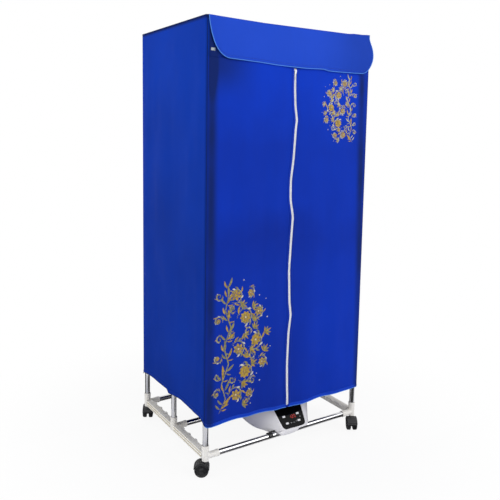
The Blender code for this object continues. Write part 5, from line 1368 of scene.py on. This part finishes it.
def nose_reach(turn, z):
    """Distance of the heater's face from its axis: a string round the hull's oval and the nose's end."""
    share = float(hull_share(z))
    wide, deep = HULL_X * share, HULL_Y * share
    tip = 0.925 * (z - 0.110) - 0.1344
    heights = (0.078, 0.090, 0.1445, 0.165)
    half = float(np.interp(z, heights, (0.0620, 0.0640, 0.0735, 0.0770)))
    inner = float(np.interp(z, heights, (0.0585, 0.0600, 0.0655, 0.0670)))
    corner = 0.010
    facing = np.linspace(-math.pi, math.pi, 1441)
    oval = np.hypot(wide * np.cos(facing), deep * np.sin(facing))
    oval = oval * (1 + (1 - share) * rise(-np.sin(facing), -0.2, 0.6))
    beside = np.where(np.cos(facing) > 0, inner, half) - corner
    end = beside * np.abs(np.cos(facing)) + (tip + corner) * np.sin(facing) + corner
    soft = 0.0080
    reach = soft * np.logaddexp(oval / soft, end / soft)
    slope = np.gradient(reach, facing)
    x = reach * np.cos(facing) - slope * np.sin(facing)
    y = reach * np.sin(facing) + slope * np.cos(facing)
    y = np.maximum(y, tip if z > BAR_CREST else BAR_BACK - HEATER[1])
    run = run_along(np.stack([x, y], -1))
    fine = np.linspace(0, run[-1], 3000)
    x, y = np.interp(fine, run, x), np.interp(fine, run, y)
    angle = np.arctan2(y, x)
    order = np.argsort(angle)
    hull = 1 / np.hypot(np.cos(turn) / wide, np.sin(turn) / deep)
    return hull, np.maximum(np.interp(turn, angle[order], np.hypot(x, y)[order]), hull)


def make_nose():
    """The nose that hooks over the front bar and carries the control panel."""
    turn = np.radians(np.linspace(-174, -6, 141))
    z = np.concatenate([np.linspace(*ends) for ends in ((0.0640, 0.0780, 9), (0.0783, 0.090, 7),
                                                        (0.0925, 0.1650, 34))])
    hull, face = np.stack([nose_reach(turn, height) for height in z], 1)
    z = z[:, None]
    chin = 0.0090 * (1 - rise(z, 0.0640, 0.0740)) * rise(face - hull, 0.0, 0.02)
    face = np.maximum(face - chin, hull) + 0.0001
    back = hull - 0.0012
    reach = np.concatenate([face, back[:, ::-1]], 1)
    angle = np.concatenate([turn, turn[::-1]])[None, :]
    points = np.stack([HEATER[0] + reach * np.cos(angle), HEATER[1] + reach * np.sin(angle),
                       np.broadcast_to(z, reach.shape)], -1)
    nose = Shape().grid(points, around=True)
    count = points.shape[1]
    for row, flip in ((0, False), (len(z) - 1, True)):
        cap = row * count + np.arange(count)
        front, rear = cap[:count // 2], cap[count // 2:][::-1]
        quads = np.stack([front[:-1], front[1:], rear[1:], rear[:-1]], -1)
        nose.faces += (quads[:, ::-1] if flip else quads).tolist()
    across = np.linspace(-1, 1, 41)[:, None]
    hang = 0.0132 * (1 - across ** 4)
    front = np.array([(-0.2500, 1.30), (-0.2518, 1.24), (-0.2540, 1.08), (-0.2556, 0.80), (-0.2562, 0.50),
                      (-0.2560, 0.28), (-0.2550, 0.10), (-0.2530, 0.01), (-0.2500, 0.0)])
    outer = BAR_CREST - hang + (hang + 0.0012) * front[:, 1]
    share = np.array([0.0, 0.15, 0.35, 0.6, 0.85, 1.0])
    inner = BAR_CREST + 0.0003 - hang * (1 - share)
    back = -UPRIGHT_Y - np.sqrt(np.clip(0.0104 ** 2 - (inner - BAR_HEIGHTS["base"]) ** 2, 0, None))
    height = np.concatenate([outer, inner], 1)
    depth = np.concatenate([np.broadcast_to(front[:, 0], outer.shape), back], 1)
    lip = np.stack([np.broadcast_to(LIP_X + LIP_HALF * across, height.shape), depth, height], -1)
    nose.grid(lip, around=True).caps(*lip.shape[:2], True)
    nose.make("heater_nose", HULL, replaces="control_pod")


def panel_outline(grow):
    """The panel's outline, grown outwards by a margin."""
    low, high = -(0.0385 + grow), 0.047 + grow
    return rounded([(-0.050 - grow, low), (0.049 + grow, low), (0.062 + grow, high), (-0.062 - grow, high)],
                   [0.018 + grow, 0.018 + grow, 0.008, 0.008], 10)


BUTTONS = {"upper_left": (-0.031, 0.007), "upper_right": (0.031, 0.007), "lower_left": (-0.0265, -0.018),
           "lower_right": (0.0265, -0.018)}
FIGURES = ("bc", "abged", "abcdef")


def make_panel():
    """The glossy panel with its lit digits, its white marks that glow as painted light, its rim, and four
    buttons.
    """
    def block(x, u, half_x, half_u, radius=0.0):
        return rectangle(x - half_x, x + half_x, u - half_u, u + half_u, radius)

    def bar(shape, x, u, length, width, upright):
        a, b = length / 2, width / 2
        line = np.array([(-a, 0), (-a + b, -b), (a - b, -b), (a, 0), (a - b, b), (-a + b, b)])
        if upright:
            line = line[:, ::-1]
        shape.slab(line + [x, u], 0.00068, 0.00082, 0.00004, PANEL, steps=1)

    holes = [block(x, u, 0.0060, 0.0034, 0.0010) for x, u in BUTTONS.values()]
    panel = Shape().slab(panel_outline(-0.0006), -0.0016, 0.0007, 0.0005, PANEL, holes)
    panel.make("panel_face", GLOSS, replaces="control_panel")
    bead = [(-0.0012, -0.0013), (0.0004, -0.0011), (0.0007, 0.0), (0.0004, 0.0011), (-0.0012, 0.0013)]
    rim = Shape().sweep(moved(lifted(panel_outline(0.0012)), PANEL), bead, PANEL_OUT, closed=True)
    rim.make("panel_rim", WHITE)
    for name, (x, u) in BUTTONS.items():
        cap = Shape().slab(block(x, u, 0.0056, 0.0031, 0.0009), -0.0012, 0.0016, 0.0005, PANEL)
        cap.slab(block(x, u, 0.0015, 0.0015), -0.0050, -0.0010, 0.0002, PANEL)
        cap.make(f"button_cap_{name}", WHITE, f"button_{name}", f"button_{name}")
    digits = Shape()
    tall = 0.0052
    spots = {"a": (0, 1, False), "g": (0, 0, False), "d": (0, -1, False), "f": (-0.5, 0.5, True),
             "b": (0.5, 0.5, True), "e": (-0.5, -0.5, True), "c": (0.5, -0.5, True)}
    for k, figure in enumerate(FIGURES):
        for part in figure:
            a, b, upright = spots[part]
            bar(digits, -0.0050 + 0.0100 * k + tall * a, 0.0012 + tall * b, tall - 0.0007, 0.0011, upright)
    digits.make("panel_digits", RED_GLOW)
    marks = Shape()
    line = rectangle(-0.00006, 0.00006, -0.0002, 0.0002)
    for x, u in ((-0.0090, -0.0195), (0.0035, -0.0200), (0.0150, -0.0185), (0.0365, -0.0065)):
        ring = lifted(circle(0.0019, 20) + [x, u], 0.00072)
        marks.sweep(moved(ring, PANEL), line, PANEL_OUT, closed=True)
        bar(marks, x, u, 0.0016, 0.0005, x > 0)
    marks.make("panel_marks", WHITE_PAINTED_GLOW)


def make_fittings():
    """The black hook on the front bar and the cord gland."""
    arc = np.radians(np.linspace(-60, 180, 41))
    arc = np.stack([np.cos(arc), np.sin(arc)], -1)
    place = Matrix.Translation((0, -UPRIGHT_Y, BAR_HEIGHTS["base"])) @ SIDEWAYS
    clip = Shape().slab(np.concatenate([arc * 0.0135, arc[::-1] * 0.0101]), -0.071, -0.055, 0.0009, place)
    link = [(0.0036, 0.0099), (0.0092, 0.0099), (0.0098, 0.0116), (0.0086, 0.0130), (0.0040, 0.0130)]
    clip.slab(rounded(link, [0.0006, 0.0006, 0.001, 0.0016, 0.001], 4), -0.0620, -0.0250, 0.0008, place)
    clip.make("bar_hook", BLACK, replaces="bar_clip")
    height = 0.104
    wall = HEATER[1] + HULL_Y * float(hull_share(height))
    flange = 0.0035
    gland = [(0.0, -0.0058), (0.0060, -0.0058), (0.0060, flange), (0.0088, flange), (0.0090, flange + 0.0008),
             (0.0086, flange + 0.0030)]
    for k in range(4):
        base = flange + 0.0036 + 0.0026 * k
        radius = 0.0076 - 0.0007 * k
        gland += [(radius - 0.0008, base), (radius - 0.0008, base + 0.0009), (radius, base + 0.0012),
                  (radius - 0.0001, base + 0.0021)]
    gland += [(0.0042, flange + 0.0138), (0.0034, flange + 0.0140), (0.0034, flange + 0.006),
              (0.0, flange + 0.006)]
    gland = Shape().lathe(gland, axes((HEATER[0], wall, height), (1, 0, 0), (0, 0, -1), (0, 1, 0)), 32)
    gland.make("inlet_gland", BLACK, replaces="cord_gland")


def dress(node, finish):
    """Gives a CAD node that stays its finish."""
    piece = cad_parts[node]
    for spot in piece.material_slots:
        spot.material = finish
    if not piece.material_slots:
        piece.data.materials.append(finish)


make_camera()
make_studio()
make_frame()
make_castors()
make_walls()
make_top()
make_doors()
make_zip()
make_valance()
make_prints()
make_hull()
make_nose()
make_panel()
make_fittings()
for node, finish in (("intake_grille", WHITE), ("fan_motor", STEEL), ("impeller", BLACK),
                     ("heating_element", CERAMIC), ("element_holder", STEEL), ("control_board", BOARD)):
    dress(node, finish)
